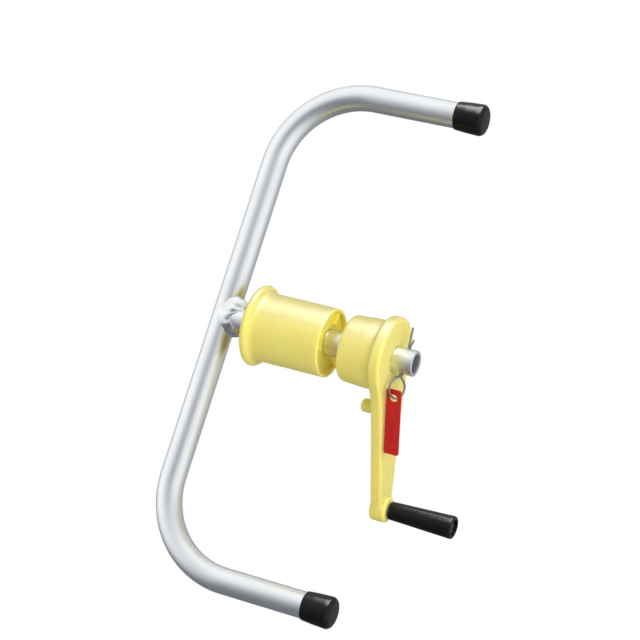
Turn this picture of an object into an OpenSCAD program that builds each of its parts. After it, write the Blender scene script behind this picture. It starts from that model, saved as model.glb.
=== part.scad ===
// Hand reel for fence wire: a bent tube frame with a welded axle, two half-drums that carry
// the core of a spool, and a crank that a spring pin keeps on the axle.
// Millimetres. Origin where the axle's axis meets the back tube's axis,
// +X along the axle towards the crank, +Z up the back tube.

/* [Frame tube] */
// Outside diameter of the bent tube
tube_d = 25; // [25:0.5:32]
// Wall of the bent tube
tube_wall = 2; // [1.2:0.1:3]
// Distance between the axes of the two legs
leg_spacing = 480; // [420:5:600]
// Bend radius on the tube's centre line
bend_r = 82; // [60:1:110]
// Cut end of each leg, from the back tube's axis
leg_reach = 193; // [160:1:240]

/* [End caps] */
// Length of a cap over all
cap_len = 29; // [22:0.5:45]
// Wall of a cap at its mouth
cap_wall = 1; // [1:0.1:3]
// Growth of a cap's radius towards its closed end
cap_flare = 1.8; // [0.2:0.1:3]
// Thickness of a cap's closed end
cap_end_t = 2.5; // [1.5:0.1:5]
// Rounding of the closed end
cap_round = 5; // [1.5:0.1:6]

/* [Axle] */
// How much smaller the axle tube's diameter is than the bent tube's
axle_under = 0.5; // [0.5:0.5:6]
// Wall of the axle tube
axle_wall = 3; // [1.5:0.1:5]
// Length of axle past the pin
axle_overhang = 11; // [6:0.5:30]
// Rounding of the axle's outer end
axle_round = 1.2; // [0.3:0.1:1.4]
// Length of the weld along the axle
weld_run = 10; // [4:0.5:12]
// Length of the weld along the back tube
weld_rise = 5.5; // [3:0.5:7]
// Extra length of the weld where its run starts and ends
weld_lump = 5; // [0:0.5:6]
// Turn of that place round the axle, from the side
weld_start = 120; // [90:1:130]
// Swell of the weld's face
weld_crown = 1.5; // [1:0.1:2]
// Ripples round the weld
weld_ripples = 14; // [12:1:24]
// Height of one ripple
weld_ripple_h = 0.35; // [0:0.05:0.6]

/* [Half-drums] */
// Outside diameter of both drums, the seat of a spool's core
drum_d = 66; // [58:0.5:72]
// Diameter of both flanges
flange_d = 78; // [76:0.5:110]
// Thickness of the inner drum's flange
flange_t = 8; // [6:0.5:14]
// Fillet between the inner drum and its flange
flange_fillet = 6; // [2:0.5:10]
// Back tube's axis to the inner drum's back face
stand_off = 34.5; // [30:0.5:60]
// Length of the inner drum with its flange
inner_len = 79.5; // [50:0.5:120]
// Wall of the inner drum
inner_wall = 4; // [2.5:0.1:8]
// Depth of the recess in the inner drum's free end
recess_depth = 10; // [10:0.5:20]
// Thickness of the web under that recess
web_t = 4; // [2.5:0.1:8]
// Bare axle between the two drums
halves_gap = 18; // [2:0.5:30]
// Length of the crank's drum, up to the crank plate
outer_len = 36; // [28:0.5:70]
// Wall of the crank's drum
outer_wall = 7; // [5:0.1:9]
// Length of the crank drum's tapered free end, which leads a core on
lead_len = 24; // [12:0.5:26]
// How much smaller the radius is at the free end
lead_drop = 1.3; // [0.3:0.1:3]
// Rounding of the free end
lead_round = 3.5; // [1:0.1:3.8]
// Fillet between the crank's drum and the crank plate
plate_fillet = 3; // [1:0.1:3]
// Wall of each hub round the axle
hub_wall = 5; // [3:0.1:7]
// Ribs between each hub and its drum
rib_count = 3; // [3:1:8]
// Thickness of a rib
rib_t = 3; // [2:0.1:5]
// How far the ribs stop short of the open end
rib_setback = 3; // [1:0.5:15]
// How far each hub stops short of the open end
hub_setback = 8; // [0.5:0.5:9]
// Rounding of the inner drum's open end
rim_round = 1.2; // [0.3:0.1:2]
// Wall of the collar that stops the inner drum
collar_wall = 3.7; // [2.5:0.1:4.2]
// Length of the collar
collar_len = 5; // [3:0.1:5.2]

/* [Crank] */
// Thickness of the crank plate
plate_t = 11.5; // [9:0.1:20]
// Axle's axis to the grip's axis
arm_len = 158.3; // [120:1:200]
// Distance from the axle's axis to the arm's sides, carried on
arm_root_r = 31; // [24:0.5:34]
// Radius of the arm's tip
arm_tip_r = 12.8; // [12.2:0.1:16]
// Radius of the hollow curve between flange and arm
arm_fillet = 120; // [40:1:160]
// Rounding of the crank plate's edges
plate_round = 3; // [1:0.1:3.5]
// Turn of the crank from straight down
crank_angle = 36.4; // [0:0.5:90]
// Height of the boss under the grip
boss_h = 3.2; // [2:0.1:6]
// Height of the boss on the arm's back
boss_back_h = 1.5; // [0.5:0.1:4]
// Diameter of both bosses at their feet
boss_d = 24; // [20:0.1:24.4]
// Diameter of both bosses at their tops
boss_top_d = 21; // [17:0.1:22]
// Drive peg's diameter
peg_d = 13; // [8:0.1:16]
// Length of the drive peg
peg_len = 19.5; // [10:0.1:24]
// Rounding of the drive peg's end
peg_round = 3.5; // [1:0.1:3.9]
// Axle's axis to the drive peg's axis
peg_at = 54.5; // [48:0.5:70]

/* [Grip] */
// Length of the grip
grip_len = 66; // [50:0.5:110]
// Grip's diameter beside the arm
grip_d0 = 17.5; // [15:0.1:20]
// Grip's diameter at its outer end
grip_d1 = 22.4; // [19:0.1:30]
// Rounding of the grip's ends
grip_round = 1.5; // [0.5:0.1:2]
// Depth of the counterbore over the bolt's head
head_depth = 9; // [8.2:0.1:16]
// Height of the bolt's head
head_h = 6; // [4:0.1:7.5]
// Diameter of the bolt's head
head_d = 13; // [12:0.1:15]
// Diameter of the counterbore round the head
counterbore_d = 15.5; // [15.2:0.1:17]
// Key size of the socket in the head
key_af = 6; // [4:0.5:7]
// Depth of the socket in the head
key_depth = 3.5; // [2:0.1:3.8]
// Diameter of the bolt's shoulder, which the grip turns on
shoulder_d = 10; // [9:0.1:11]
// Diameter of the bolt's thread
thread_d = 6; // [5:0.5:8]
// Thread past the nut
thread_proud = 1; // [0.3:0.1:1.2]
// Depth of the nut's back under the back boss
nut_sink = 1.6; // [1.3:0.1:3]
// Diameter of the pocket for the nut
pocket_d = 13.5; // [13:0.1:15]
// Nut's width across flats
nut_af = 10; // [8:0.5:11]
// Height of the nut
nut_h = 5; // [3:0.1:6]
// Diameter of the washer under the grip
washer_d = 11.5; // [11:0.5:17]
// Diameter of the washer in the nut's pocket
nut_washer_d = 12.5; // [11:0.5:12.8]
// Thickness of the two washers
washer_t = 1; // [0.8:0.1:2.5]

/* [Pin and tag] */
// Crank plate's face to the pin's axis
pin_offset = 9.5; // [7.5:0.1:14]
// Diameter of the pin's wire
wire_d = 2; // [1.8:0.1:3]
// Length of the pin's long leg above the axle
long_leg = 17.5; // [12:0.5:40]
// Length of the pin's short leg above the axle
short_leg = 6.5; // [5:0.5:30]
// Lean of the long leg
long_lean = 6; // [0:0.5:15]
// Lean of the short leg
short_lean = 18; // [0:0.5:30]
// Radius of the pin's loop, at the middle of its wire
loop_r = 10; // [9:0.1:12]
// Radius of the bends between the loop and the legs
neck_r = 3; // [2:0.1:8]
// Axle to the pin's neck
neck_drop = 1.2; // [0.5:0.1:6]
// Turn of the loop's plane from the axle's axis
loop_turn = 66; // [62:1:80]
// Width of the tag
tag_w = 15.2; // [13:0.1:19]
// Length of the tag
tag_len = 68; // [40:0.5:90]
// Thickness of the tag
tag_t = 1.5; // [1:0.1:1.8]
// Diameter of the tag's hole
tag_hole_d = 7.5; // [7:0.1:8.5]
// Tag's top edge to the middle of its hole
tag_hole_at = 9; // [6:0.1:9.2]
// Rounding of the tag's corners
tag_round = 2.5; // [0.5:0.1:4]
// Turn of the tag from straight down
tag_angle = 38; // [10:1:40]

/* [Fits] */
// Gap between round pieces that stay together
fit_gap = 0.05; // [0.02:0.01:0.1]
// Radial running gap of a turning bore
run_gap = 0.08; // [0.03:0.01:0.1]
// Gap between end faces that turn past each other
face_gap = 0.3; // [0.2:0.05:0.5]
// Play of the pin's two legs in the axle's cross hole
pin_play = 0.5; // [0.3:0.05:1]
// Gap between the pin's two legs
leg_gap = 0.2; // [0.1:0.05:0.5]
// Gap between the tag's edge and the crank plate
tag_gap = 1.9; // [0.5:0.1:3]

/* [Hidden] */
$fn = 96;

// Colours as the photograph shows them
aluminium = "#c9cccf";
yellow = "#ecdf7e";
black = "#1c1c1e";
steel = "#8f9092";
red = "#b92a28";

// How far the shapes of one moulding run into each other
join = 0.4;
// How far a cutting shape runs past what it cuts
past = 1;
// Steps in a quarter turn of a rounded edge
round_steps = 8;

// Diameters and radii
axle_d = tube_d - axle_under;
tube_r = tube_d / 2;
axle_r = axle_d / 2;
drum_r = drum_d / 2;
flange_r = flange_d / 2;
hub_r = axle_r + hub_wall;
bore_r = axle_r + run_gap;
wire_r = wire_d / 2;

// Places along the axle
inner_x1 = stand_off + inner_len;
outer_x0 = inner_x1 + halves_gap;
plate_x0 = outer_x0 + outer_len;
plate_x1 = plate_x0 + plate_t;
pin_x = plate_x1 + pin_offset;
axle_x1 = pin_x + axle_overhang;

// Places along the grip
boss_x0 = plate_x0 - boss_back_h;
boss_x1 = plate_x1 + boss_h;
shoulder_x0 = boss_x1 + washer_t;
grip_x0 = shoulder_x0 + face_gap;
grip_x1 = grip_x0 + grip_len;
head_x0 = grip_x1 - head_depth + face_gap;
nut_x0 = boss_x0 + nut_sink;
nut_x1 = nut_x0 + nut_h;
pocket_x = nut_x1 + washer_t;

// Frame
leg_z = leg_spacing / 2;
straight_z = leg_z - bend_r;
cap_x0 = leg_reach + cap_end_t - cap_len;

// Points of an arc in the plane, ends included
function arc(centre, r, from, to, steps = round_steps) =
    [for (k = [0:steps]) let (a = from + (to - from) * k / steps) centre + r * [cos(a), sin(a)]];

// Triangles between neighbouring rings of points, turning right-handed along the row of rings
function skin(rings, sides) = [
    for (k = [0:rings - 2], i = [0:sides - 1])
        let (j = (i + 1) % sides, a = k * sides, b = a + sides)
            each [[a + i, b + i, b + j], [a + i, b + j, a + j]]
];

// Closed solid through a row of rings
module loft(rings) {
    sides = len(rings[0]);
    last = (len(rings) - 1) * sides;
    ends = [[for (i = [0:sides - 1]) i], [for (i = [sides - 1:-1:0]) last + i]];
    polyhedron([for (ring = rings) each ring], concat(ends, skin(len(rings), sides)));
}

// Solid turned about the axle's axis from a profile of [radius, x] points
module turned(profile) rotate([90, 0, 90]) rotate_extrude() polygon(profile);

// Round bar along +X from x0 to x1
module bar_x(r, x0, x1) translate([x0, 0, 0]) rotate([0, 90, 0]) cylinder(r = r, h = x1 - x0);

// Places its children on the grip's axis, as the crank stands
module at_grip() rotate([crank_angle, 0, 0]) translate([0, 0, -arm_len]) children();

// Frame tube: back tube, two bends and two legs
module tube_section() {
    difference() {
        circle(r = tube_r);
        circle(r = tube_r - tube_wall);
    }
}

module frame_half() {
    translate([bend_r, 0, straight_z]) rotate([90, 0, 0]) rotate([0, 0, 90])
        rotate_extrude(angle = 90) translate([bend_r, 0]) tube_section();
    translate([bend_r, 0, leg_z]) rotate([0, 90, 0])
        linear_extrude(leg_reach - bend_r) tube_section();
}

module frame_tube() {
    color(aluminium) union() {
        translate([0, 0, -straight_z]) linear_extrude(2 * straight_z) tube_section();
        frame_half();
        mirror([0, 0, 1]) frame_half();
    }
}

// Axle: tube with a saddle cut against the back tube, a rounded end and the pin's cross hole
cross_hole_d = 2 * wire_d + leg_gap + pin_play;

module axle_tube() {
    inner_r = axle_r - axle_wall;
    color(aluminium) difference() {
        turned(concat(
            [[inner_r, 0], [axle_r, 0]],
            arc([axle_r - axle_round, axle_x1 - axle_round], axle_round, 0, 90),
            [[inner_r, axle_x1]]
        ));
        translate([0, 0, -tube_d]) cylinder(r = tube_r + fit_gap, h = 2 * tube_d);
        translate([pin_x, 0, -axle_d]) cylinder(d = cross_hole_d, h = 2 * axle_d);
    }
}

// Weld: a rippled fillet that follows the saddle line of the two tubes
weld_steps = 5 * weld_ripples;
weld_faces = 4;
weld_spread = 35;
weld_gap = 2 * fit_gap;
saddle_r = (axle_r + fit_gap) / cos(180 / weld_steps);
back_r = tube_r + weld_gap;

// Point on the back tube, a way s out from the saddle line at turn t
function on_back(t, s) =
    let (y = saddle_r * cos(t), a = asin(y / back_r) + s * cos(t) / back_r * 180 / PI)
        [back_r * cos(a), back_r * sin(a), (saddle_r + s) * sin(t)];

// Point on the axle, a way s along it from the saddle line at turn t
function on_axle(t, s) = on_back(t, 0) + [s, 0, 0];

// Extra length of the weld at turn t, a soft lump round the start
function weld_extra(t) = weld_lump * exp(-pow(((t - weld_start + 540) % 360 - 180) / weld_spread, 2));

// One slice of the weld, with its swollen face between axle and back tube
function weld_slice(t) =
    let (
        ripple = weld_ripple_h * (1 + sin(weld_ripples * t)) / 2,
        top = on_axle(t, weld_run + weld_extra(t) / 2 + ripple),
        reach = weld_rise + weld_extra(t) + ripple,
        foot = on_back(t, reach),
        out = [1, cos(t), sin(t)] / sqrt(2)
    )
        concat(
            [on_axle(t, 0)],
            [for (k = [0:weld_faces]) let (w = k / weld_faces)
                top + (foot - top) * w + out * (weld_crown + ripple) * sin(180 * w)],
            [for (k = [weld_faces - 1:-1:1]) on_back(t, reach * k / weld_faces)]
        );

module weld_bead() {
    slices = [for (k = [0:weld_steps - 1]) weld_slice(360 * k / weld_steps)];
    sides = len(slices[0]);
    count = weld_steps * sides;
    closing = [for (f = skin(weld_steps + 1, sides)) [for (v = f) v % count]];
    color(aluminium) polyhedron([for (s = slices) each s], closing);
}

// End caps: dipped sleeves with a swollen, rounded closed end
module end_cap() {
    bore = tube_r + fit_gap;
    mouth = bore + cap_wall;
    body = mouth + cap_flare;
    lip = cap_wall / 3;
    color(black) translate([cap_x0, 0, leg_z]) difference() {
        turned(concat(
            [[0, 0]],
            arc([mouth - lip, lip], lip, -90, 0),
            arc([body - cap_round, cap_len - cap_round], cap_round, 0, 90),
            [[0, cap_len]]
        ));
        bar_x(bore, -past, cap_len - cap_end_t);
    }
}

module upper_end_cap() end_cap();

module lower_end_cap() mirror([0, 0, 1]) end_cap();

// Collar on the axle, against the inner drum's hub
module axle_collar() {
    color(aluminium) difference() {
        bar_x(axle_r + fit_gap + collar_wall, stand_off, stand_off + collar_len);
        bar_x(axle_r + fit_gap, stand_off - past, stand_off + collar_len + past);
    }
}

// Ribs between a hub and its drum, from x0 to x1
module ribs(cavity_r, x0, x1) {
    for (k = [0:rib_count - 1])
        rotate([360 * k / rib_count, 0, 0]) translate([x0, -rib_t / 2, hub_r - join])
            cube([x1 - x0, rib_t, cavity_r - hub_r + 2 * join]);
}

// Inner drum: flange with a round lip, drum, and a web that carries the hub, with ribs on both sides of it
module inner_drum() {
    cavity_r = drum_r - inner_wall;
    hub_x0 = stand_off + collar_len + face_gap;
    hub_x1 = inner_x1 - hub_setback;
    web_x1 = inner_x1 - recess_depth;
    web_x0 = web_x1 - web_t;
    lip_r = flange_t / 2;
    lip = [flange_r - lip_r, stand_off + lip_r];
    root_r = drum_r + flange_fillet;
    root = [root_r, lip[1] + sqrt(pow(lip_r + flange_fillet, 2) - pow(root_r - lip[0], 2))];
    blend = atan2(root[1] - lip[1], root[0] - lip[0]);
    color(yellow) union() {
        turned(concat(
            [[cavity_r, stand_off]],
            arc(lip, lip_r, -90, blend, 2 * round_steps),
            arc(root, flange_fillet, blend + 180, 180),
            arc([drum_r - rim_round, inner_x1 - rim_round], rim_round, 0, 90),
            [
                [cavity_r, inner_x1],
                [cavity_r, web_x1],
                [hub_r, web_x1],
                [hub_r, hub_x1],
                [bore_r, hub_x1],
                [bore_r, hub_x0],
                [hub_r, hub_x0],
                [hub_r, web_x0],
                [cavity_r, web_x0]
            ]
        ));
        ribs(cavity_r, stand_off + rib_setback, inner_x1 - rib_setback);
    }
}

// Crank plate: the flange and the tapered arm as one outline of arcs and straight sides
arm_taper = asin((arm_root_r - arm_tip_r) / arm_len);
side_out = [cos(arm_taper), sin(arm_taper)];
side_down = [-sin(arm_taper), cos(arm_taper)];
hollow = side_out * (arm_root_r + arm_fillet)
    + side_down * sqrt(pow(flange_r + arm_fillet, 2) - pow(arm_root_r + arm_fillet, 2));
hollow_turn = atan2(hollow[1], hollow[0]);
flange_steps = 26;
hollow_steps = 6;
tip_steps = 12;

// Right half of the outline, drawn in by inset, from the flange's top to the arm's tip
function half_outline(inset) = concat(
    arc([0, 0], flange_r - inset, -90, hollow_turn, flange_steps),
    arc(hollow, arm_fillet + inset, hollow_turn + 180, arm_taper + 180, hollow_steps),
    arc([0, arm_len], arm_tip_r - inset, arm_taper, 90, tip_steps)
);

// Whole outline at one x, both halves, with the points on the middle line used once
function plate_ring(x, inset) =
    let (half = half_outline(inset), last = len(half) - 1)
        concat(
            [for (p = half) [x, p[0], -p[1]]],
            [for (k = [last - 1:-1:1]) [x, -half[k][0], -half[k][1]]]
        );

module crank_plate() {
    edge = [for (a = [0:30:90]) plate_round * [1 - cos(a), 1 - sin(a)]];
    loft(concat(
        [for (e = edge) plate_ring(plate_x1 - e[0], e[1])],
        [for (k = [len(edge) - 1:-1:0]) plate_ring(plate_x0 + edge[k][0], edge[k][1])]
    ));
}

// Drum behind the crank plate, with its hub and ribs
module crank_core() {
    cavity_r = drum_r - outer_wall;
    root = [drum_r + plate_fillet, plate_x0 - plate_fillet + join];
    tilt = atan(lead_drop / (lead_len - lead_round));
    turned(concat(
        [[0, plate_x0 + join]],
        arc(root, plate_fillet, 90, 180),
        [[drum_r, outer_x0 + lead_len]],
        arc([drum_r - lead_drop - lead_round, outer_x0 + lead_round], lead_round, -tilt, -90),
        [
            [cavity_r, outer_x0],
            [cavity_r, plate_x0 - join],
            [hub_r, plate_x0 - join],
            [hub_r, outer_x0 + hub_setback],
            [0, outer_x0 + hub_setback]
        ]
    ));
    ribs(cavity_r, outer_x0 + rib_setback, plate_x0);
}

// Bosses at the arm's tip: the grip stands on the front one, the nut lies in the back one
module bosses() {
    foot_r = boss_d / 2;
    top_r = boss_top_d / 2;
    translate([0, 0, -arm_len]) turned([
        [0, boss_x0],
        [top_r, boss_x0],
        [foot_r, plate_x0],
        [foot_r, plate_x1],
        [top_r, boss_x1],
        [0, boss_x1]
    ]);
}

// Peg that drives a spool's flange, on the arm's back
module drive_peg() {
    r = peg_d / 2;
    tip_x = plate_x0 - peg_len;
    translate([0, 0, -peg_at]) turned(concat(
        [[0, tip_x]],
        arc([r - peg_round, tip_x + peg_round], peg_round, -90, 0),
        [[r, plate_x0 + join], [0, plate_x0 + join]]
    ));
}

// Crank drum: drum, crank plate, bosses and drive peg in one moulding, with a pocket for the nut
module crank_drum() {
    color(yellow) rotate([crank_angle, 0, 0]) difference() {
        union() {
            crank_plate();
            crank_core();
            bosses();
            drive_peg();
        }
        bar_x(bore_r, outer_x0 - past, plate_x1 + past);
        translate([0, 0, -arm_len]) bar_x(thread_d / 2 + fit_gap, boss_x0 - past, boss_x1 + past);
        translate([0, 0, -arm_len]) bar_x(pocket_d / 2, boss_x0 - past, pocket_x);
    }
}

// Grip: a taper with a running bore and a counterbore for the bolt's head
module grip_sleeve() {
    r0 = grip_d0 / 2;
    r1 = grip_d1 / 2;
    color(black) at_grip() difference() {
        turned(concat(
            [[0, grip_x0]],
            arc([r0 - grip_round, grip_x0 + grip_round], grip_round, -90, 0),
            arc([r1 - grip_round, grip_x1 - grip_round], grip_round, 0, 90),
            [[0, grip_x1]]
        ));
        bar_x(shoulder_d / 2 + run_gap, grip_x0 - past, grip_x1);
        bar_x(counterbore_d / 2, grip_x1 - head_depth, grip_x1 + past);
    }
}

// Bolt: threaded end, shoulder for the grip, round head with a key socket
module grip_bolt() {
    thread_r = thread_d / 2;
    head_r = head_d / 2;
    chamfer = thread_d / 8;
    tip_x = nut_x0 - thread_proud;
    top_x = head_x0 + head_h;
    color(steel) at_grip() difference() {
        turned([
            [0, tip_x],
            [thread_r - chamfer, tip_x],
            [thread_r, tip_x + chamfer],
            [thread_r, shoulder_x0],
            [shoulder_d / 2, shoulder_x0],
            [shoulder_d / 2, head_x0],
            [head_r, head_x0],
            [head_r, top_x - chamfer],
            [head_r - chamfer, top_x],
            [0, top_x]
        ]);
        translate([top_x - key_depth, 0, 0]) rotate([0, 90, 0])
            cylinder(d = key_af / cos(30), h = key_depth + past, $fn = 6);
    }
}

// Washer on the bolt's thread, its lower face at x
module washer(d, x) {
    color(steel) at_grip() difference() {
        bar_x(d / 2, x, x + washer_t);
        bar_x(thread_d / 2 + fit_gap, x - past, x + washer_t + past);
    }
}

module grip_washer() washer(washer_d, boss_x1);

module nut_washer() washer(nut_washer_d, nut_x1);

// Nut in the back boss's pocket, its corners turned off at the free end
module grip_nut() {
    corner_r = nut_af / 2 / cos(30);
    chamfer = corner_r - nut_af / 2;
    color(steel) at_grip() difference() {
        intersection() {
            translate([nut_x0, 0, 0]) rotate([0, 90, 0]) cylinder(r = corner_r, h = nut_h, $fn = 6);
            turned([
                [0, nut_x0],
                [nut_af / 2 - chamfer / 4, nut_x0],
                [corner_r + chamfer, nut_x0 + chamfer],
                [corner_r + chamfer, nut_x1],
                [0, nut_x1]
            ]);
        }
        bar_x(thread_d / 2 + fit_gap, nut_x0 - past, nut_x1 + past);
    }
}

// Spring pin: one wire, from the long leg round the loop to the short leg
leg_u = wire_r + leg_gap / 2;
lean_z = axle_r + wire_d;
neck_z = -axle_r - neck_drop;
neck_turn = acos((leg_u + neck_r) / (loop_r + neck_r));
loop_z = neck_z - (loop_r + neck_r) * sin(neck_turn);
loop_steps = 24;
wire_sides = 10;

// The wire's middle line, in the loop's own plane
loop = arc([0, loop_z], loop_r, 180 - neck_turn, 360 + neck_turn, loop_steps);
pin_path = concat(
    [[-leg_u - long_leg * sin(long_lean), lean_z + long_leg * cos(long_lean)], [-leg_u, lean_z]],
    arc([-leg_u - neck_r, neck_z], neck_r, 0, -neck_turn),
    [for (k = [1:loop_steps - 1]) loop[k]],
    arc([leg_u + neck_r, neck_z], neck_r, 180 + neck_turn, 180),
    [[leg_u, lean_z], [leg_u + short_leg * sin(short_lean), lean_z + short_leg * cos(short_lean)]]
);

// Direction of the wire at point k
function along(k) =
    let (d = pin_path[min(k + 1, len(pin_path) - 1)] - pin_path[max(k - 1, 0)]) d / norm(d);

// Ring of points round the wire at point k, its plane turned about the pin's axis
function wire_ring(k) =
    let (p = pin_path[k], d = along(k))
        [for (i = [0:wire_sides - 1])
            let (
                a = 360 * i / wire_sides,
                q = p + wire_r * sin(a) * [d[1], -d[0]],
                n = wire_r * cos(a)
            )
                [
                    pin_x + q[0] * cos(loop_turn) + n * sin(loop_turn),
                    q[0] * sin(loop_turn) - n * cos(loop_turn),
                    q[1]
                ]];

module retaining_pin() color(steel) loft([for (k = [0:len(pin_path) - 1]) wire_ring(k)]);

// Tag: flat strip with round corners, hung by its hole on the bottom of the loop
module tag_outline(x0, x1, y0, y1) {
    translate([x0 + tag_round, y0]) square([x1 - x0 - 2 * tag_round, y1 - y0]);
    translate([x0, y0 + tag_round]) square([x1 - x0, y1 - y0 - 2 * tag_round]);
    for (x = [x0 + tag_round, x1 - tag_round], y = [y0 + tag_round, y1 - tag_round])
        translate([x, y]) circle(r = tag_round);
}

module red_tag() {
    x0 = plate_x1 + tag_gap - pin_x;
    color(red) translate([pin_x, 0, loop_z - loop_r]) rotate([tag_angle - 90, 0, 0])
        translate([0, 0, -tag_t / 2]) linear_extrude(tag_t) difference() {
            tag_outline(x0, x0 + tag_w, -tag_hole_at, tag_len - tag_hole_at);
            circle(d = tag_hole_d);
        }
}

frame_tube();
axle_tube();
weld_bead();
upper_end_cap();
lower_end_cap();
axle_collar();
inner_drum();
crank_drum();
grip_sleeve();
grip_bolt();
grip_washer();
nut_washer();
grip_nut();
retaining_pin();
red_tag();
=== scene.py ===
# %% [markdown]
# # A hand reel for fence wire
#
# The reel is a tube bent into a C, with an axle welded across its middle. Two moulded half-drums sit on
# the axle and carry the core of a spool, and a crank with a turning grip winds it. A spring pin with a red
# tag keeps the crank on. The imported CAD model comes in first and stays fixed: it gives every place and
# size. This lesson makes a fine surface for each piece, lays it over the solid and gives it a finish.

import bmesh
import bpy
import numpy as np
from mathutils import Matrix, Vector
from mathutils.geometry import tessellate_polygon


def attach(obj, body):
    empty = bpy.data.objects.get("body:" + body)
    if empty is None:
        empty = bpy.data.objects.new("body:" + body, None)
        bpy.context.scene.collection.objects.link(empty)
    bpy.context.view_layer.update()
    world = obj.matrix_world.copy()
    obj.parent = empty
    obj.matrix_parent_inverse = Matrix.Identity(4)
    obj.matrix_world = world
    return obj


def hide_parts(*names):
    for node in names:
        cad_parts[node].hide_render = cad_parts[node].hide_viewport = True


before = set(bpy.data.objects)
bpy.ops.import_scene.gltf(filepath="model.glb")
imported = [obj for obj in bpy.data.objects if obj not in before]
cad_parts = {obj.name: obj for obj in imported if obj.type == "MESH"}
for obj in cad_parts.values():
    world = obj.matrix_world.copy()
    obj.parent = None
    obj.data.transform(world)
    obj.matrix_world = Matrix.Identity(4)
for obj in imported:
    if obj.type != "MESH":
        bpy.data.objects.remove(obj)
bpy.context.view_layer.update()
MM = 0.001
TAU = 2 * np.pi

# %% [markdown]
# ## Camera
#
# A photograph is matched by three turns and three distances. The turns say from where the lens looks: round
# the object, up or down, and how far the camera is tilted on its own axis. The distances say where the
# reel's origin lies in front of the lens. They were found by fitting the tube, the axle and the drums.

# %% Set up the camera
AZIMUTH, ELEVATION, TILT = np.radians((23.17, -9.2, 17.57))
AIM_RIGHT, AIM_UP, DISTANCE = 0.0908, -0.0030, 2.0444
LENS = 120.4

level = Vector((np.cos(AZIMUTH), np.sin(AZIMUTH), 0))
back = Vector((
    np.sin(AZIMUTH) * np.cos(ELEVATION),
    -np.cos(AZIMUTH) * np.cos(ELEVATION),
    np.sin(ELEVATION),
))
plumb = back.cross(level)
right = level * np.cos(TILT) + plumb * np.sin(TILT)
up = plumb * np.cos(TILT) - level * np.sin(TILT)



def new_object(name, data):
    """New object, linked into the scene."""
    thing = bpy.data.objects.new(name, data)
    bpy.context.collection.objects.link(thing)
    return thing


camera = new_object("camera", bpy.data.cameras.new("camera"))
camera.matrix_world = Matrix.Translation(
    right * AIM_RIGHT + up * AIM_UP + back * DISTANCE
) @ Matrix((right, up, back)).transposed().to_4x4()
camera.data.lens = LENS
bpy.context.scene.camera = camera
print("camera at", [round(c, 3) for c in camera.matrix_world.translation])

# %% [markdown]
# ## Helpers for surfaces
#
# Nearly every piece here is turned on a lathe, drawn as a tube or moulded round an axle. All of those are
# grids: one parameter goes along a profile or a path, the other goes round. A grid is quick to work out as
# whole arrays, and its points are where the shape needs them, so that edges come out soft and clean.

# %% Grids, arcs and soft profiles
def turns(count):
    """Equal turns once round, in radians."""
    return np.linspace(0, TAU, count, endpoint=False)


def joined(*parts):
    """Points from their coordinates, which are numbers or arrays that fit each other."""
    return np.stack(np.broadcast_arrays(*parts), axis=-1)


def unit(rows, least=0.0):
    """Each row divided by its length; least keeps a row without length from failing."""
    return rows / (np.linalg.norm(rows, axis=1, keepdims=True) + least)


def steps_of(points):
    """Distances between neighbouring points."""
    return np.linalg.norm(np.diff(points, axis=0), axis=1)


def looked_up(at, path, rows):
    """Rows of two values that belong to the points of a path, read off at lengths along it."""
    run = np.concatenate([[0], np.cumsum(steps_of(path))])
    return np.stack([np.interp(at, run, rows[:, k]) for k in (0, 1)], axis=-1)


def grid_quads(rows, columns, loop_rows=False, loop_columns=True):
    """Corner numbers of a grid's quads: each point, its neighbour in the row and the two in the next row.
    A looped direction goes on from its last line to its first."""
    i, j = np.meshgrid(
        np.arange(rows if loop_rows else rows - 1),
        np.arange(columns if loop_columns else columns - 1),
        indexing="ij",
    )
    k, m = (i + 1) % rows, (j + 1) % columns
    corners = [i * columns + j, i * columns + m, k * columns + m, k * columns + j]
    return np.stack(corners, axis=-1).reshape(-1, 4)


def arc(centre, radius, start, end, steps=8):
    """Points at equal turns on a circle: centre + radius * (cos, sin), from start to end in degrees."""
    turn = np.radians(np.linspace(start, end, steps + 1))
    return np.array(centre) + radius * joined(np.cos(turn), np.sin(turn))


def distinct(points):
    """The row of points without those that repeat the one before."""
    return points[np.concatenate([[True], steps_of(points) > 1e-6])]


def soft(corners, steps=5):
    """Open row of corners (radius, x, rounding): each inner corner becomes an arc of its own rounding that
    touches both sides. The arc's centre lies on the corner's bisector, rounding / sin(half angle) away."""
    corners = np.array(corners, float)
    place, rounding = corners[:, :2], corners[1:-1, 2]
    corner = place[1:-1]
    before, after = unit(place[:-2] - corner), unit(place[2:] - corner)
    half = np.arccos(np.clip((before * after).sum(axis=1), -1, 1)) / 2
    centre = corner + unit(before + after, 1e-12) * (rounding / np.sin(half))[:, None]
    spoke = corner + before * (rounding / np.tan(half))[:, None] - centre
    side = before[:, 0] * after[:, 1] - before[:, 1] * after[:, 0]
    sweep = -np.sign(side) * (np.pi - 2 * half)
    turn = sweep[:, None] * np.linspace(0, 1, steps + 1)
    bend = centre[:, None] + joined(
        spoke[:, :1] * np.cos(turn) - spoke[:, 1:] * np.sin(turn),
        spoke[:, :1] * np.sin(turn) + spoke[:, 1:] * np.cos(turn),
    )
    return distinct(np.concatenate([place[:1], bend.reshape(-1, 2), place[-1:]]))


def spaced(points, span):
    """The same row with points added on its sides, so that no step is longer than span."""
    count = np.ceil(steps_of(points) / span).astype(int)
    which = np.repeat(np.arange(len(count)), count)
    part = (np.arange(len(which)) - np.repeat(np.cumsum(count) - count, count)) / count[which]
    inner = points[which] + part[:, None] * (points[which + 1] - points[which])
    return np.concatenate([inner, points[-1:]])


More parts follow.
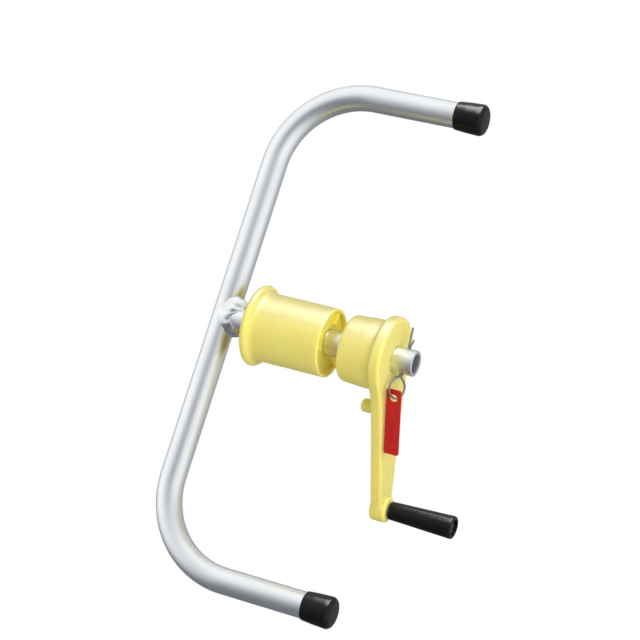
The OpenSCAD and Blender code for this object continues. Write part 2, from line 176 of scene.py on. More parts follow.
def turned(radius, x, sides=96, axis=(0, 0), start=0.0, loop_rows=False):
    """Turned surface: y = radius * cos(turn) and z = radius * sin(turn) about an axis along X. Radius and
    x may change along the profile, and also round the axis as on a nut."""
    turn = np.radians(start) + turns(sides)
    points = joined(x, axis[0] + radius * np.cos(turn), axis[1] + radius * np.sin(turn))
    return points, grid_quads(len(points), sides, loop_rows)


def lathe(profile, span=4.0, **turning):
    """Turned surface of a row of (radius, x) points, with steps no longer than span."""
    fine = spaced(profile, span)
    return turned(fine[:, :1], fine[:, 1:], **turning)


print("soft corner test:", np.round(soft([(0, 0, 0), (10, 0, 2), (10, 8, 0)], 2), 2).tolist())

# %% [markdown]
# ## From arrays to pieces
#
# A piece is a mesh whose place is in its points, so the object itself stays at the origin. Points that fall
# on each other, as at a pole, are merged, and the faces are turned outwards. Two things are stored on the
# points for the finishes: how far each point stands out from its neighbours, which finds the edges that
# wear and, on the weld, the valleys that get painted shade, and where it lies along a drawn tube or wire.

# %% Put a surface into Blender
WELD_DISTANCE = 2e-6
RISE_FROM, RISE_SPAN = 0.035, 0.06
made = {}


def mark_edges(mesh):
    """Stores 'edge' on the points: the mean rise of a point over its neighbours along its own normal,
    0 on flat or hollow places and 1 on a tight outside corner."""
    count = len(mesh.vertices)
    place, normal = np.empty(3 * count, np.float32), np.empty(3 * count, np.float32)
    ends = np.empty(2 * len(mesh.edges), np.int32)
    mesh.vertices.foreach_get("co", place)
    mesh.vertex_normals.foreach_get("vector", normal)
    mesh.edges.foreach_get("vertices", ends)
    place, normal, ends = place.reshape(-1, 3), normal.reshape(-1, 3), ends.reshape(-1, 2)
    way = unit(place[ends[:, 1]] - place[ends[:, 0]], 1e-12)
    rise = np.concatenate([-(way * normal[ends[:, 0]]).sum(1), (way * normal[ends[:, 1]]).sum(1)])
    point = np.concatenate([ends[:, 0], ends[:, 1]])
    mean = np.bincount(point, rise, count) / np.maximum(np.bincount(point, minlength=count), 1)
    edge = np.clip((mean - RISE_FROM) / RISE_SPAN, 0, 1)
    mesh.attributes.new("edge", "FLOAT", "POINT").data.foreach_set("value", edge.astype(np.float32))


def united(solids):
    """One closed skin from solids that run into each other, each a list of (points, faces) shells: whatever
    lies inside another solid is cut away. Gives points and triangles."""
    things = []
    for shells in solids:
        work = bmesh.new()
        for points, faces in shells:
            corners = [work.verts.new(point) for point in np.reshape(points, (-1, 3))]
            for face in np.array(faces).tolist():
                if len(set(face)) == len(face):
                    work.faces.new([corners[k] for k in face])
        bmesh.ops.remove_doubles(work, verts=work.verts, dist=WELD_DISTANCE / MM)
        bmesh.ops.recalc_face_normals(work, faces=work.faces)
        mesh = bpy.data.meshes.new("solid")
        work.to_mesh(mesh)
        work.free()
        things.append(new_object("solid", mesh))
    for other in things[1:]:
        step = things[0].modifiers.new("unite", "BOOLEAN")
        step.operation, step.solver, step.object = "UNION", "EXACT", other
    ready = things[0].evaluated_get(bpy.context.evaluated_depsgraph_get()).to_mesh()
    ready.calc_loop_triangles()
    points = np.array([vertex.co for vertex in ready.vertices])
    triangles = np.array([triangle.vertices for triangle in ready.loop_triangles])
    for thing in things:
        bpy.data.meshes.remove(thing.data)
    return points, triangles


def piece(node, shells, body, finish, crisp=34):
    """Makes the object for one CAD node from shells of (points in mm, faces, place along or None)."""
    points = [np.reshape(shell[0], (-1, 3)) for shell in shells]
    first = np.cumsum([0] + [len(p) for p in points])
    faces = [f for shell, at in zip(shells, first) for f in (np.array(shell[1]) + at).tolist()]
    mesh = bpy.data.meshes.new(node + "_surface")
    mesh.from_pydata((np.concatenate(points) * MM).tolist(), [], faces)
    run = [np.reshape(s[2], (-1, 3)) if len(s) > 2 else p for s, p in zip(shells, points)]
    layer = mesh.attributes.new("run", "FLOAT_VECTOR", "POINT")
    layer.data.foreach_set("vector", (np.concatenate(run) * MM).astype(np.float32).ravel())
    work = bmesh.new()
    work.from_mesh(mesh)
    bmesh.ops.remove_doubles(work, verts=work.verts, dist=WELD_DISTANCE)
    bmesh.ops.recalc_face_normals(work, faces=work.faces)
    open_edges = sum(not edge.is_manifold for edge in work.edges)
    work.to_mesh(mesh)
    work.free()
    mesh.shade_smooth()
    mesh.set_sharp_from_angle(angle=np.radians(crisp))
    mark_edges(mesh)
    mesh.materials.append(finish)
    thing = new_object(node + "_surface", mesh)
    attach(thing, body)
    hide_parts(node)
    made[node] = thing
    triangles = sum(len(polygon.vertices) - 2 for polygon in mesh.polygons)
    print(f"{node}: {triangles} triangles, {open_edges} open edges")
    return thing


# %% [markdown]
# ## Helpers for finishes
#
# A finish is a small graph of nodes. These helpers add a node and wire it in one line: a value that is a
# number is written on the socket, and a value that is another node's output is linked to it.

# %% Nodes in one line
def plug(tree, node, sockets):
    """Sets a node's sockets to numbers or links them to outputs."""
    for name, value in dict(sockets).items():
        if isinstance(value, bpy.types.NodeSocket):
            tree.links.new(value, node.inputs[name])
        else:
            node.inputs[name].default_value = value


def add(tree, kind, sockets=(), **settings):
    """New node with its settings and its sockets."""
    node = tree.nodes.new(kind)
    for name, value in settings.items():
        setattr(node, name, value)
    plug(tree, node, sockets)
    return node


def noise(tree, vector, scale, detail=3.0, roughness=0.5):
    """Smooth noise from 0 to 1 with about scale bumps in each metre."""
    sockets = {"Vector": vector, "Scale": scale, "Detail": detail, "Roughness": roughness}
    return add(tree, "ShaderNodeTexNoise", sockets).outputs["Fac"]


def maths(tree, operation, a, b=0.0, clamp=False):
    """One step of arithmetic on two values."""
    return add(tree, "ShaderNodeMath", {0: a, 1: b}, operation=operation, use_clamp=clamp).outputs[0]


def between(tree, value, low, high, to_low=0.0, to_high=1.0):
    """Maps low..high to to_low..to_high in a straight line and holds both ends."""
    sockets = {"Value": value, "From Min": low, "From Max": high, "To Min": to_low, "To Max": to_high}
    return add(tree, "ShaderNodeMapRange", sockets).outputs["Result"]


def tint(tree, share, a, b):
    """Colour that goes from a to b with the share."""
    return add(tree, "ShaderNodeMix", {0: share, 6: a, 7: b}, data_type="RGBA").outputs[2]


def stretched(tree, vector, scale, turn=(0.0, 0.0, 0.0)):
    """Vector turned and then stretched, so that a pattern runs long in the directions of small scale."""
    sockets = {"Vector": vector, "Scale": scale, "Rotation": turn}
    return add(tree, "ShaderNodeMapping", sockets).outputs["Vector"]


def stored(tree, name, output):
    """Value that the mesh carries on its points."""
    return add(tree, "ShaderNodeAttribute", attribute_name=name).outputs[output]


def object_place(tree):
    """Place on the piece, in metres."""
    return add(tree, "ShaderNodeTexCoord").outputs["Object"]


def effect(name, inputs, outputs):
    """Empty node group with named inputs and outputs, each a pair of name and socket kind."""
    tree = bpy.data.node_groups.new(name, "ShaderNodeTree")
    for label, kind in inputs:
        tree.interface.new_socket(label, in_out="INPUT", socket_type="NodeSocket" + kind)
    for label, kind in outputs:
        tree.interface.new_socket(label, in_out="OUTPUT", socket_type="NodeSocket" + kind)
    return tree, tree.nodes.new("NodeGroupInput").outputs, tree.nodes.new("NodeGroupOutput").inputs


def use(tree, group, sockets):
    """Places a node group in a finish and gives back its outputs."""
    return add(tree, "ShaderNodeGroup", sockets, node_tree=group).outputs


def new_finish(name, constants):
    """Material with an empty Principled shader: constants go on its own sockets."""
    material = bpy.data.materials.new(name)
    material.use_nodes = True
    tree = material.node_tree
    shader = tree.nodes["Principled BSDF"]
    plug(tree, shader, constants)
    return material, tree, shader


def relief(tree, height, distance, strength=1.0):
    """Normal from a height map, with the height's real size in metres."""
    sockets = {"Height": height, "Distance": distance, "Strength": strength}
    return add(tree, "ShaderNodeBump", sockets).outputs["Normal"]


# %% [markdown]
# ## Shared effects
#
# Four effects come back in several finishes. Moulded plastic has a fine grain and a slow mottle. Everything
# that is handled picks up hairline scuffs in patches. Outside edges rub bright. Drawn tube and wire carry
# fine lines along their length. Each is one group, built once and placed with its own scale.

# %% Grain, scuffs, worn edges and drawn lines
grain, given, out = effect(
    "moulded grain",
    [("Vector", "Vector"), ("Scale", "Float")],
    [("Height", "Float"), ("Mottle", "Float")],
)
fine_grain = noise(grain, given["Vector"], given["Scale"], 2.0, 0.6)
grain.links.new(between(grain, fine_grain, 0.3, 0.7), out["Height"])
slow = noise(grain, given["Vector"], maths(grain, "MULTIPLY", given["Scale"], 0.02), 2.0)
grain.links.new(between(grain, slow, 0.32, 0.68), out["Mottle"])

scuffs, given, out = effect(
    "hairline scuffs", [("Vector", "Vector"), ("Scale", "Float")], [("Mask", "Float")]
)
hairs = []
for turn in ((0.3, 0.9, 0.2), (1.4, 0.2, 1.1), (2.2, 1.7, 0.6)):
    long_way = stretched(scuffs, given["Vector"], (1.0, 0.07, 1.0), turn)
    line = noise(scuffs, long_way, given["Scale"], 1.0)
    off = maths(scuffs, "ABSOLUTE", maths(scuffs, "SUBTRACT", line, 0.5))
    hairs.append(between(scuffs, off, 0.0, 0.012, 1.0, 0.0))
patch = noise(scuffs, given["Vector"], maths(scuffs, "MULTIPLY", given["Scale"], 0.12), 2.0)
hair = maths(scuffs, "MAXIMUM", maths(scuffs, "MAXIMUM", hairs[0], hairs[1]), hairs[2])
scuffs.links.new(maths(scuffs, "MULTIPLY", hair, between(scuffs, patch, 0.48, 0.66)), out["Mask"])

wear, given, out = effect(
    "rubbed edges", [("Vector", "Vector"), ("Edge", "Float"), ("Scale", "Float")], [("Mask", "Float")]
)
ragged = between(wear, noise(wear, given["Vector"], given["Scale"], 4.0, 0.65), 0.35, 0.65)
wear.links.new(maths(wear, "MULTIPLY", given["Edge"], ragged), out["Mask"])

lines, given, out = effect(
    "drawn lines",
    [("Along", "Vector"), ("Scale", "Float")],
    [("Streak", "Float"), ("Blotch", "Float")],
)
long_way = stretched(lines, given["Along"], (1.0, 1.0, 0.012))
streak = noise(lines, long_way, given["Scale"], 3.0, 0.65)
lines.links.new(between(lines, streak, 0.34, 0.66), out["Streak"])
slow = noise(lines, stretched(lines, given["Along"], (1.0, 1.0, 0.35)), 60.0, 3.0)
lines.links.new(between(lines, slow, 0.35, 0.65), out["Blotch"])
print("effects:", ", ".join(group.name for group in bpy.data.node_groups))

# %% [markdown]
# ## Metal finishes
#
# The tube and the axle are plain mill-finish aluminium: bright, but with fine lines along the tube that
# draw every reflection out, and dull patches where hands have held it. The weld is the same metal, cast
# bright and clean: it is whiter and smoother, with fine pits. Painted shade makes it darker in the valleys
# between its ripples and towards its underside. The bolt and the pin are steel.

# %% Aluminium and wire
METAL_SCUFF_SCALE = 160.0


def drawn_metal(name, bright, dull, rough, line_scale, depth):
    """Metal with lines along the run of the piece: colour and roughness follow the streaks."""
    material, tree, shader = new_finish(name, {"Metallic": 1.0})
    along = stored(tree, "run", "Vector")
    line = use(tree, lines, {"Along": along, "Scale": line_scale})
    scuff = use(tree, scuffs, {"Vector": along, "Scale": METAL_SCUFF_SCALE})["Mask"]
    shade = between(tree, line["Streak"], 0.0, 1.0, 0.1, 0.55)
    mixed = maths(tree, "ADD", shade, maths(tree, "MULTIPLY", line["Blotch"], 0.35), True)
    worn = maths(tree, "ADD", mixed, maths(tree, "MULTIPLY", scuff, 0.6))
    plug(tree, shader, {
        "Base Color": tint(tree, mixed, bright, dull),
        "Roughness": between(tree, worn, 0.0, 1.4, *rough),
        "Normal": relief(tree, line["Streak"], depth),
    })
    return material


aluminium = drawn_metal(
    "mill finish aluminium", bright=(0.91, 0.92, 0.93, 1), dull=(0.82, 0.83, 0.85, 1),
    rough=(0.34, 0.46), line_scale=900.0, depth=3e-6,
)
spring_wire = drawn_metal(
    "drawn spring wire", bright=(0.40, 0.40, 0.41, 1), dull=(0.24, 0.24, 0.25, 1),
    rough=(0.26, 0.45), line_scale=2600.0, depth=2e-6,
)
print("drawn metals:", aluminium.name, "/", spring_wire.name)

# %% Weld and zinc
# Painted shade: between these heights in metres, the weld's colour darkens towards its underside.
SHADE_TOP, SHADE_BOTTOM, SHADE_RAGGED = -0.001, -0.008, 0.004
PIT_SCALE, PIT_DEPTH, PIT_ROUGH = 1400.0, 2e-5, (0.15, 0.30)
CLOUD_SCALE, CLOUD_ROUGH = 260.0, (0.24, 0.40)
ZINC_GRAIN_SCALE, ZINC_GRAIN_DEPTH, ZINC_RUB_SCALE = 3000.0, 4e-6, 500.0

weld_metal, tree, shader = new_finish("rippled weld", {"Metallic": 1.0})
place = object_place(tree)
pits = noise(tree, place, PIT_SCALE, 3.0, 0.6)
heat = between(tree, noise(tree, place, 90.0, 2.0), 0.35, 0.65)
crest = stored(tree, "edge", "Fac")
# Painted shade: off its crests, in the valleys between its ripples, the weld is a darker grey.
heat_tinted = tint(tree, heat, (0.98, 0.98, 0.98, 1), (0.94, 0.935, 0.93, 1))
bead_with_shaded_valleys = tint(tree, between(tree, crest, 0.0, 0.5), (0.88, 0.88, 0.88, 1), heat_tinted)
# Painted shade: from here on the weld gets darker towards the bottom, with a ragged border.
height = add(tree, "ShaderNodeSeparateXYZ", {0: place}).outputs["Z"]
ragged = maths(tree, "ADD", height, maths(tree, "MULTIPLY", heat, SHADE_RAGGED))
painted_underside_shade = between(tree, ragged, SHADE_TOP, SHADE_BOTTOM)
plug(tree, shader, {
    "Base Color": tint(tree, painted_underside_shade, bead_with_shaded_valleys, (0.70, 0.70, 0.72, 1)),
    "Roughness": between(tree, pits, 0.3, 0.7, *PIT_ROUGH),
    "Normal": relief(tree, pits, PIT_DEPTH),
})

zinc, tree, shader = new_finish("zinc plate", {"Metallic": 1.0})
place = object_place(tree)
cloud = between(tree, noise(tree, place, CLOUD_SCALE, 4.0, 0.6), 0.3, 0.7)
rub = use(tree, wear, {
    "Vector": place, "Edge": stored(tree, "edge", "Fac"), "Scale": ZINC_RUB_SCALE
})["Mask"]
plated = tint(tree, cloud, (0.62, 0.63, 0.65, 1), (0.52, 0.52, 0.50, 1))
plug(tree, shader, {
    "Base Color": tint(tree, rub, plated, (0.74, 0.75, 0.76, 1)),
    "Roughness": between(tree, cloud, 0.0, 1.0, *CLOUD_ROUGH),
    "Normal": relief(tree, noise(tree, place, ZINC_GRAIN_SCALE), ZINC_GRAIN_DEPTH),
})
print("cast and plated metals:", weld_metal.name, "/", zinc.name)

# %% [markdown]
# ## Plastic and vinyl finishes
#
# The half-drums are a pale lemon plastic with a satin moulded skin, the grip a satin black one, the tag a
# semi-gloss red strip and the end caps dipped vinyl, nearly wet to look at. One builder serves all four,
# because they differ only in colour, gloss, grain and how their edges and scuffs show. The half-drums let
# light through and scatter it under the skin. Inside them a deeper, brighter yellow is painted into the
# colour: painted light that stands for the light that passes the walls.

# %% Yellow, black, red and vinyl
PLASTIC_SCUFF_SCALE, PLASTIC_RUB_SCALE, RUB_SHARE, MOTTLE_SHARE = 140.0, 350.0, 0.55, 0.6
# Painted light: inside this radius and short of this x, the drums get a deeper, brighter yellow.
INSIDE_R, INSIDE_X, INSIDE_FADE = 0.029, 0.166, 0.002


def painted_light_inside_drums(tree, place):
    """Share that gets the painted light inside the drums: near enough to the axle, and not yet as far out
    as the plate.
    """
    axis = add(tree, "ShaderNodeSeparateXYZ", {0: place}).outputs
    squares = [maths(tree, "MULTIPLY", axis[k], axis[k]) for k in "YZ"]
    radius = maths(tree, "SQRT", maths(tree, "ADD", *squares))
    return maths(
        tree, "MULTIPLY", between(tree, radius, INSIDE_R, INSIDE_R + INSIDE_FADE, 1.0, 0.0),
        between(tree, axis["X"], INSIDE_X, INSIDE_X + INSIDE_FADE, 1.0, 0.0),
    )


def moulded(name, colours, rough, grain_scale, grain_depth, edge_colour, scuff_share, constants, deep=None):
    """Moulded skin: a slow mottle between two colours, rubbed edges, scuffs that are duller, a grain in the
    normal, and where deep is given, that colour painted inside the drums as light that came through the
    walls."""
    material, tree, shader = new_finish(name, constants)
    place = object_place(tree)
    skin = use(tree, grain, {"Vector": place, "Scale": grain_scale})
    scuff = use(tree, scuffs, {"Vector": place, "Scale": PLASTIC_SCUFF_SCALE})["Mask"]
    rub = use(tree, wear, {
        "Vector": place, "Edge": stored(tree, "edge", "Fac"), "Scale": PLASTIC_RUB_SCALE
    })["Mask"]
    body = tint(tree, skin["Mottle"], *colours)
    touched = maths(tree, "ADD", maths(tree, "MULTIPLY", rub, RUB_SHARE),
                    maths(tree, "MULTIPLY", scuff, scuff_share), True)
    colour = tint(tree, touched, body, edge_colour)
    if deep:
        # Painted light: inside the drums the colour turns to the deeper, brighter yellow of light through
        # the walls.
        colour = tint(tree, painted_light_inside_drums(tree, place), colour, deep)
    dull = maths(tree, "ADD", maths(tree, "MULTIPLY", skin["Mottle"], MOTTLE_SHARE),
                 maths(tree, "MULTIPLY", scuff, 2 * scuff_share), True)
    plug(tree, shader, {
        "Base Color": colour,
        "Roughness": between(tree, dull, 0.0, 1.0, *rough),
        "Normal": relief(tree, skin["Height"], grain_depth),
    })
    return material


yellow_plastic = moulded(
    "pale yellow moulding", ((0.79, 0.70, 0.19, 1), (0.775, 0.68, 0.175, 1)), rough=(0.42, 0.50),
    grain_scale=2200.0, grain_depth=1.2e-5, edge_colour=(0.86, 0.76, 0.25, 1), scuff_share=0.12,
    constants={
        "Specular IOR Level": 0.50, "Subsurface Weight": 1.0, "Subsurface Radius": (1.0, 0.9, 0.3),
        "Subsurface Scale": 0.004,
    },
    # Painted light: the deeper, brighter yellow painted inside the drums for light through the walls.
    deep=(0.93, 0.79, 0.11, 1),
)
black_plastic = moulded(
    "satin black moulding", ((0.005, 0.005, 0.0052, 1), (0.007, 0.007, 0.0073, 1)), rough=(0.26, 0.40),
    grain_scale=2600.0, grain_depth=1.0e-5, edge_colour=(0.03, 0.03, 0.031, 1), scuff_share=0.1,
    constants={"Specular IOR Level": 0.15},
)
red_plastic = moulded(
    "red tag strip", ((0.52, 0.014, 0.012, 1), (0.46, 0.011, 0.010, 1)), rough=(0.28, 0.46),
    grain_scale=1800.0, grain_depth=6.0e-6, edge_colour=(0.62, 0.07, 0.06, 1), scuff_share=0.3,
    constants={"Specular IOR Level": 0.2},
)
black_vinyl = moulded(
    "dipped black vinyl", ((0.004, 0.004, 0.0042, 1), (0.006, 0.006, 0.0062, 1)), rough=(0.22, 0.30),
    grain_scale=420.0, grain_depth=3.0e-6, edge_colour=(0.02, 0.02, 0.021, 1), scuff_share=0.15,
    constants={"Specular IOR Level": 0.16},
)
print("mouldings:", ", ".join(m.name for m in (yellow_plastic, black_plastic, red_plastic, black_vinyl)))

# %% [markdown]
# ## Frame tube
#
# One length of tube, bent twice at right angles. A curve with a bevel would do, but carrying a ring of
# points along the middle line also gives the wall, the cut ends and the place along the tube, which
# the drawn lines follow round the bends.

# %% Carry a round section along a flat path
def carried(path, lengths, radii, sides, across, upward, origin=(0, 0, 0)):
    """Round section on a flat path: middle of the path at each length, plus radius times (cos(turn) * the
    path's side direction + sin(turn) * the plane's normal). Also gives the place along: two offsets in the
    section and the length."""
    path = distinct(path)
    run = np.concatenate([[0], np.cumsum(steps_of(path))])
    basis, lengths = np.array([across, upward], float), np.clip(lengths, 0, run[-1])
    middle = looked_up(lengths, path, path)
    slope = unit(looked_up(lengths, path, np.gradient(path, run, axis=0)))
    side = joined(-slope[:, 1], slope[:, 0]) @ basis
    turn = turns(sides)
    ring = np.cos(turn)[:, None] * side[:, None] + np.sin(turn)[:, None] * np.cross(*basis)
    points = np.array(origin) + (middle @ basis)[:, None] + radii[:, None, None] * ring
    along = joined(radii[:, None] * np.cos(turn), radii[:, None] * np.sin(turn), lengths[:, None])
    return points, along


def path_length(path):
    """Sum of the distances between neighbouring points."""
    return steps_of(path).sum()


TUBE_R, TUBE_BORE, BEND_R = 12.5, 10.5, 82.0
LEG_Z, LEG_END = 240.0, 193.0
TUBE_ROWS, TUBE_SIDES = 260, 80
bend_z = LEG_Z - BEND_R
middle_line = np.concatenate([
    [(LEG_END, LEG_Z)],
    arc((BEND_R, bend_z), BEND_R, 90, 180, 180),
    arc((BEND_R, -bend_z), BEND_R, 180, 270, 180),
    [(LEG_END, -LEG_Z)],
])
stations = np.linspace(0, path_length(middle_line), TUBE_ROWS)
there_and_back = np.concatenate([stations, stations[::-1]])
wall_radii = np.repeat([TUBE_R, TUBE_BORE], len(stations))
tube_points, tube_run = carried(
    middle_line, there_and_back, wall_radii, TUBE_SIDES, (1, 0, 0), (0, 0, 1)
)
tube_faces = grid_quads(len(there_and_back), TUBE_SIDES, loop_rows=True)
piece("frame_tube", [(tube_points, tube_faces, tube_run)], "frame", aluminium)
print("tube length in mm:", round(stations[-1]))

# %% [markdown]
# ## Axle tube
#
# The axle meets the back tube in a saddle line, has a rounded outer end, and a cross hole for the pin. The
# saddle is easy on a grid: the first ring simply starts at a different x all the way round. For each hole a
# square patch of quads is left out, and a ring of quads leads from the patch's border to the round edge.

# %% Axle with saddle, rounded end and cross hole
AXLE_R, AXLE_BORE, AXLE_END, END_FROM = 12.25, 9.25, 200.0, 195.0
SADDLE_R = 12.55
PIN_X, CROSS_R, CROSS_EDGE = 189.0, 2.35, 0.3
AXLE_SIDES, PATCH, PATCH_STEP = 96, 6, 0.765

turn = turns(AXLE_SIDES)


def axle_side(radius, count=24):
    """Rows from the saddle line to the end of the hole's patch: x goes in equal parts from the back tube's
    surface, sqrt(saddle radius^2 - y^2), to the patch, and then in equal steps across it."""
    saddle = np.sqrt(SADDLE_R ** 2 - (radius * np.cos(turn)) ** 2)
    share = np.linspace(0, 1, count, endpoint=False)[:, None]
    before = saddle + share * (PIN_X - PATCH * PATCH_STEP - saddle)
    across = PIN_X + PATCH_STEP * np.arange(-PATCH, PATCH + 1)[:, None] + 0 * turn
    return np.concatenate([before, across])


outer_x, inner_x = axle_side(AXLE_R), axle_side(AXLE_BORE)
end = soft([
    (AXLE_R, END_FROM, 0), (AXLE_R, AXLE_END, 1.2), (AXLE_BORE, AXLE_END, 0.5), (AXLE_BORE, END_FROM, 0),
])
axle_x = np.concatenate([outer_x, end[:, 1:] + 0 * turn, inner_x[::-1]])
axle_radius = np.concatenate([
    np.full(len(outer_x), AXLE_R), end[:, 0], np.full(len(inner_x), AXLE_BORE)
])[:, None]
axle_points, axle_faces = turned(axle_radius, axle_x, AXLE_SIDES, loop_rows=True)

rows = len(axle_points)
row, column = np.divmod(np.arange(rows * AXLE_SIDES), AXLE_SIDES)
outer_row = len(outer_x) - 2 * PATCH - 1
inner_row = rows - len(outer_x)
cut = np.zeros(rows * AXLE_SIDES, bool)
extra_points, extra_faces = [], []
next_point = rows * AXLE_SIDES
edge_walk = np.arange(2 * PATCH)
walk_row = np.concatenate([0 * edge_walk, edge_walk, 0 * edge_walk + 2 * PATCH, 2 * PATCH - edge_walk])
walk_column = np.concatenate([edge_walk, 0 * edge_walk + 2 * PATCH, 2 * PATCH - edge_walk, 0 * edge_walk])
for top in (AXLE_SIDES // 4, 3 * AXLE_SIDES // 4):
    for first_row in (outer_row, inner_row):
        in_rows = (row >= first_row) & (row < first_row + 2 * PATCH)
        in_columns = (column >= top - PATCH) & (column < top + PATCH)
        cut |= in_rows & in_columns
    borders = [
        from_row * AXLE_SIDES + top - PATCH + walk_column
        for from_row in (outer_row + walk_row, inner_row + 2 * PATCH - walk_row)
    ]
    flat = axle_points.reshape(-1, 3)
    away = unit(flat[borders[0]][:, :2] - (PIN_X, 0))
    level_sign = 1 if top == AXLE_SIDES // 4 else -1
    circles = []
    for surface_r, hole_r, sink in (
        (AXLE_R, CROSS_R + CROSS_EDGE, 0.0), (AXLE_R, CROSS_R, CROSS_EDGE), (AXLE_BORE, CROSS_R, 0.0)
    ):
        xy = away * hole_r
        z = level_sign * (np.sqrt(surface_r ** 2 - xy[:, 1] ** 2) - sink)
        extra_points.append(joined(PIN_X + xy[:, 0], xy[:, 1], z))
        circles.append(next_point + np.arange(len(xy)))
        next_point += len(xy)
    for a, b in ((borders[0], circles[0]), (circles[0], circles[1]), (circles[1], circles[2]),
                 (circles[2], borders[1])):
        extra_faces.append(np.stack([a, np.roll(a, -1), np.roll(b, -1), b], axis=-1))

axle_points = np.concatenate([axle_points.reshape(-1, 3)] + extra_points)
axle_faces = np.concatenate([axle_faces[~cut]] + extra_faces)
axle_run = axle_points[:, [1, 2, 0]]
piece("axle_tube", [(axle_points, axle_faces, axle_run)], "frame", aluminium)

# %% [markdown]
# ## Weld bead
#
# The bead runs once round the saddle line. Its section is a swollen fillet between two feet, one on the
# axle and one on the back tube, with a thicker lump where the run starts and ends. The welder's puddles are
# waves that bend back at both feet, and slower waves across them make the bead uneven.

# %% Weld along the saddle
WELD_RUN, WELD_RISE, WELD_CROWN = 10.0, 5.5, 1.5
LUMP, LUMP_AT, LUMP_SPREAD = 5.0, np.radians(120), np.radians(35)
PUDDLES, PUDDLE_RISE, LUMPY = 14, 0.30, 0.25
WELD_R, BACK_R, FOOT_INSET = 12.31, 12.6, 0.4
BEAD_ROWS, BEAD_COLUMNS, UNDER_COLUMNS = 432, 25, 5

around = turns(BEAD_ROWS)[:, None]
across = np.linspace(0, 1, BEAD_COLUMNS)[None]


def on_back(t, s):
    """Point on the back tube, a way s out from the saddle line at turn t."""
    a = np.arcsin(WELD_R * np.cos(t) / BACK_R) + s * np.cos(t) / BACK_R
    return joined(BACK_R * np.cos(a), BACK_R * np.sin(a), (WELD_R + s) * np.sin(t))


# The counts and phases of the waves are free: they only keep the bead from repeating itself.
off = (around - LUMP_AT + 3 * np.pi) % TAU - np.pi
extra = LUMP * np.exp(-(off / LUMP_SPREAD) ** 2)
wander = 0.6 * np.sin(3 * around + 1.0) + 0.4 * np.sin(5 * around)
ripple = np.cos(PUDDLES * around + wander + 3.0 * (2 * across - 1) ** 2)
lumps = np.sin(4 * around + 5 * across) * np.sin(3 * around - 4 * across + 1)
lumps = lumps + 0.6 * np.sin(9 * around + 7 * across)
uneven = PUDDLE_RISE * ripple + LUMPY * lumps
foot = 0.25 * np.sin(PUDDLES * around + wander) + 0.35 * np.sin(7 * around + 2)
climb = WELD_RUN + extra / 2 - FOOT_INSET + foot
axle_foot = on_back(around, 0 * around)[:, 0] + np.array([1.0, 0, 0]) * climb
reach = WELD_RISE + extra - FOOT_INSET + foot
tube_foot = on_back(around, reach)[:, 0]
swell = np.concatenate([1 + 0 * around, np.cos(around), np.sin(around)], axis=1) / np.sqrt(2)
face = axle_foot[:, None] + (tube_foot - axle_foot)[:, None] * across[..., None]
face = face + swell[:, None] * (np.sin(np.pi * across) * (WELD_CROWN + uneven))[..., None]
inside = on_back(around, reach * np.linspace(0.8, 0, UNDER_COLUMNS)[None])
bead = np.concatenate([face, inside], axis=1)
piece("weld_bead", [(bead, grid_quads(*bead.shape[:2], loop_rows=True))], "frame",
      weld_metal, crisp=60)

# %% [markdown]
# ## End caps
#
# The caps are dipped: thin and snug at the mouth, thicker and rounded at the closed end. A profile from the
# middle of the outside, over the rounding, round the mouth and back up the bore is turned about each leg.

# %% Two caps
CAP_MOUTH, CAP_WAIST, CAP_END, CAP_CROWN = 166.5, 177.0, 195.5, 0.3
MOUTH_R, WAIST_R, END_R, CAP_BORE = 13.55, 14.5, 15.35, 12.55
cap_profile = soft([
    (0.0, CAP_END, 0), (END_R, CAP_END - CAP_CROWN, 5.0), (WAIST_R, CAP_WAIST, 40.0),
    (MOUTH_R, CAP_MOUTH, 0.5), (CAP_BORE, CAP_MOUTH, 0.3), (CAP_BORE, LEG_END, 1.0), (0.0, LEG_END, 0),
], 8)
for node, leg in (("upper_end_cap", LEG_Z), ("lower_end_cap", -LEG_Z)):
    piece(node, [lathe(cap_profile, 2.5, axis=(0, leg))], "frame", black_vinyl)

# %% [markdown]
# ## Collar
#
# The collar sits in the inner drum's recess and stops it from sliding to the frame. It is a plain turned
# ring with broken edges. A closed profile goes round both of its faces.

# %% Ring round the axle
COLLAR_BORE, COLLAR_R, COLLAR_BACK, COLLAR_FRONT, COLLAR_EDGE = 12.3, 16.0, 34.5, 39.5, 0.4


def ring_profile(bore, outside, x0, x1, edge):
    """Section of a ring as a closed row: along the bore, out, back along the outside and in again."""
    middle = (x0 + x1) / 2
    return soft([
        (bore, middle, 0), (bore, x1, edge), (outside, x1, edge), (outside, x0, edge), (bore, x0, edge),
        (bore, middle, 0),
    ], 3)


collar = lathe(ring_profile(COLLAR_BORE, COLLAR_R, COLLAR_BACK, COLLAR_FRONT, COLLAR_EDGE))
piece("axle_collar", [collar], "frame", aluminium)

# %% [markdown]
# ## Inner half-drum
#
# The drum is a moulding with a round-lipped flange and a web that carries the hub, with ribs on both
# sides. It could be a boolean of cylinders and boxes, but that leaves ragged faces. Here it is one grid:
# its columns go round, and each column follows the same profile, except that columns in a pocket dive to
# the floor while columns on a rib stay on top. The faces between two such columns are the side of the rib.
# The recess at the free end is shown 5 mm deep, half as deep as in the solid.

# %% One grid with ribs and pockets
HUB_R, DRUM_R, RIBS, RIB_T, RIB_DRAFT = 17.25, 33.0, 3, 3.0, 0.3
BORE_R, POCKET_COLUMNS, RIB_DROP, DROP_FROM = 12.33, 33, 0.6, 0.6
PLAIN_SPAN, POCKET_SPAN = 4.0, 3.0


def resampled(path, count):
    """The same number of points on any row: equal shares of its whole length."""
    return looked_up(np.linspace(0, np.cumsum(steps_of(path))[-1], count), path, path)


def plain(path):
    """Stretch of a ribbed section that is the same on a rib and beside it."""
    fine = spaced(path, PLAIN_SPAN)
    return fine, fine


def pocket(path, over):
    """Stretch of a ribbed section that dives into a pocket, and its way over the rib instead."""
    fine = spaced(path, POCKET_SPAN)
    return fine, resampled(over, len(fine))


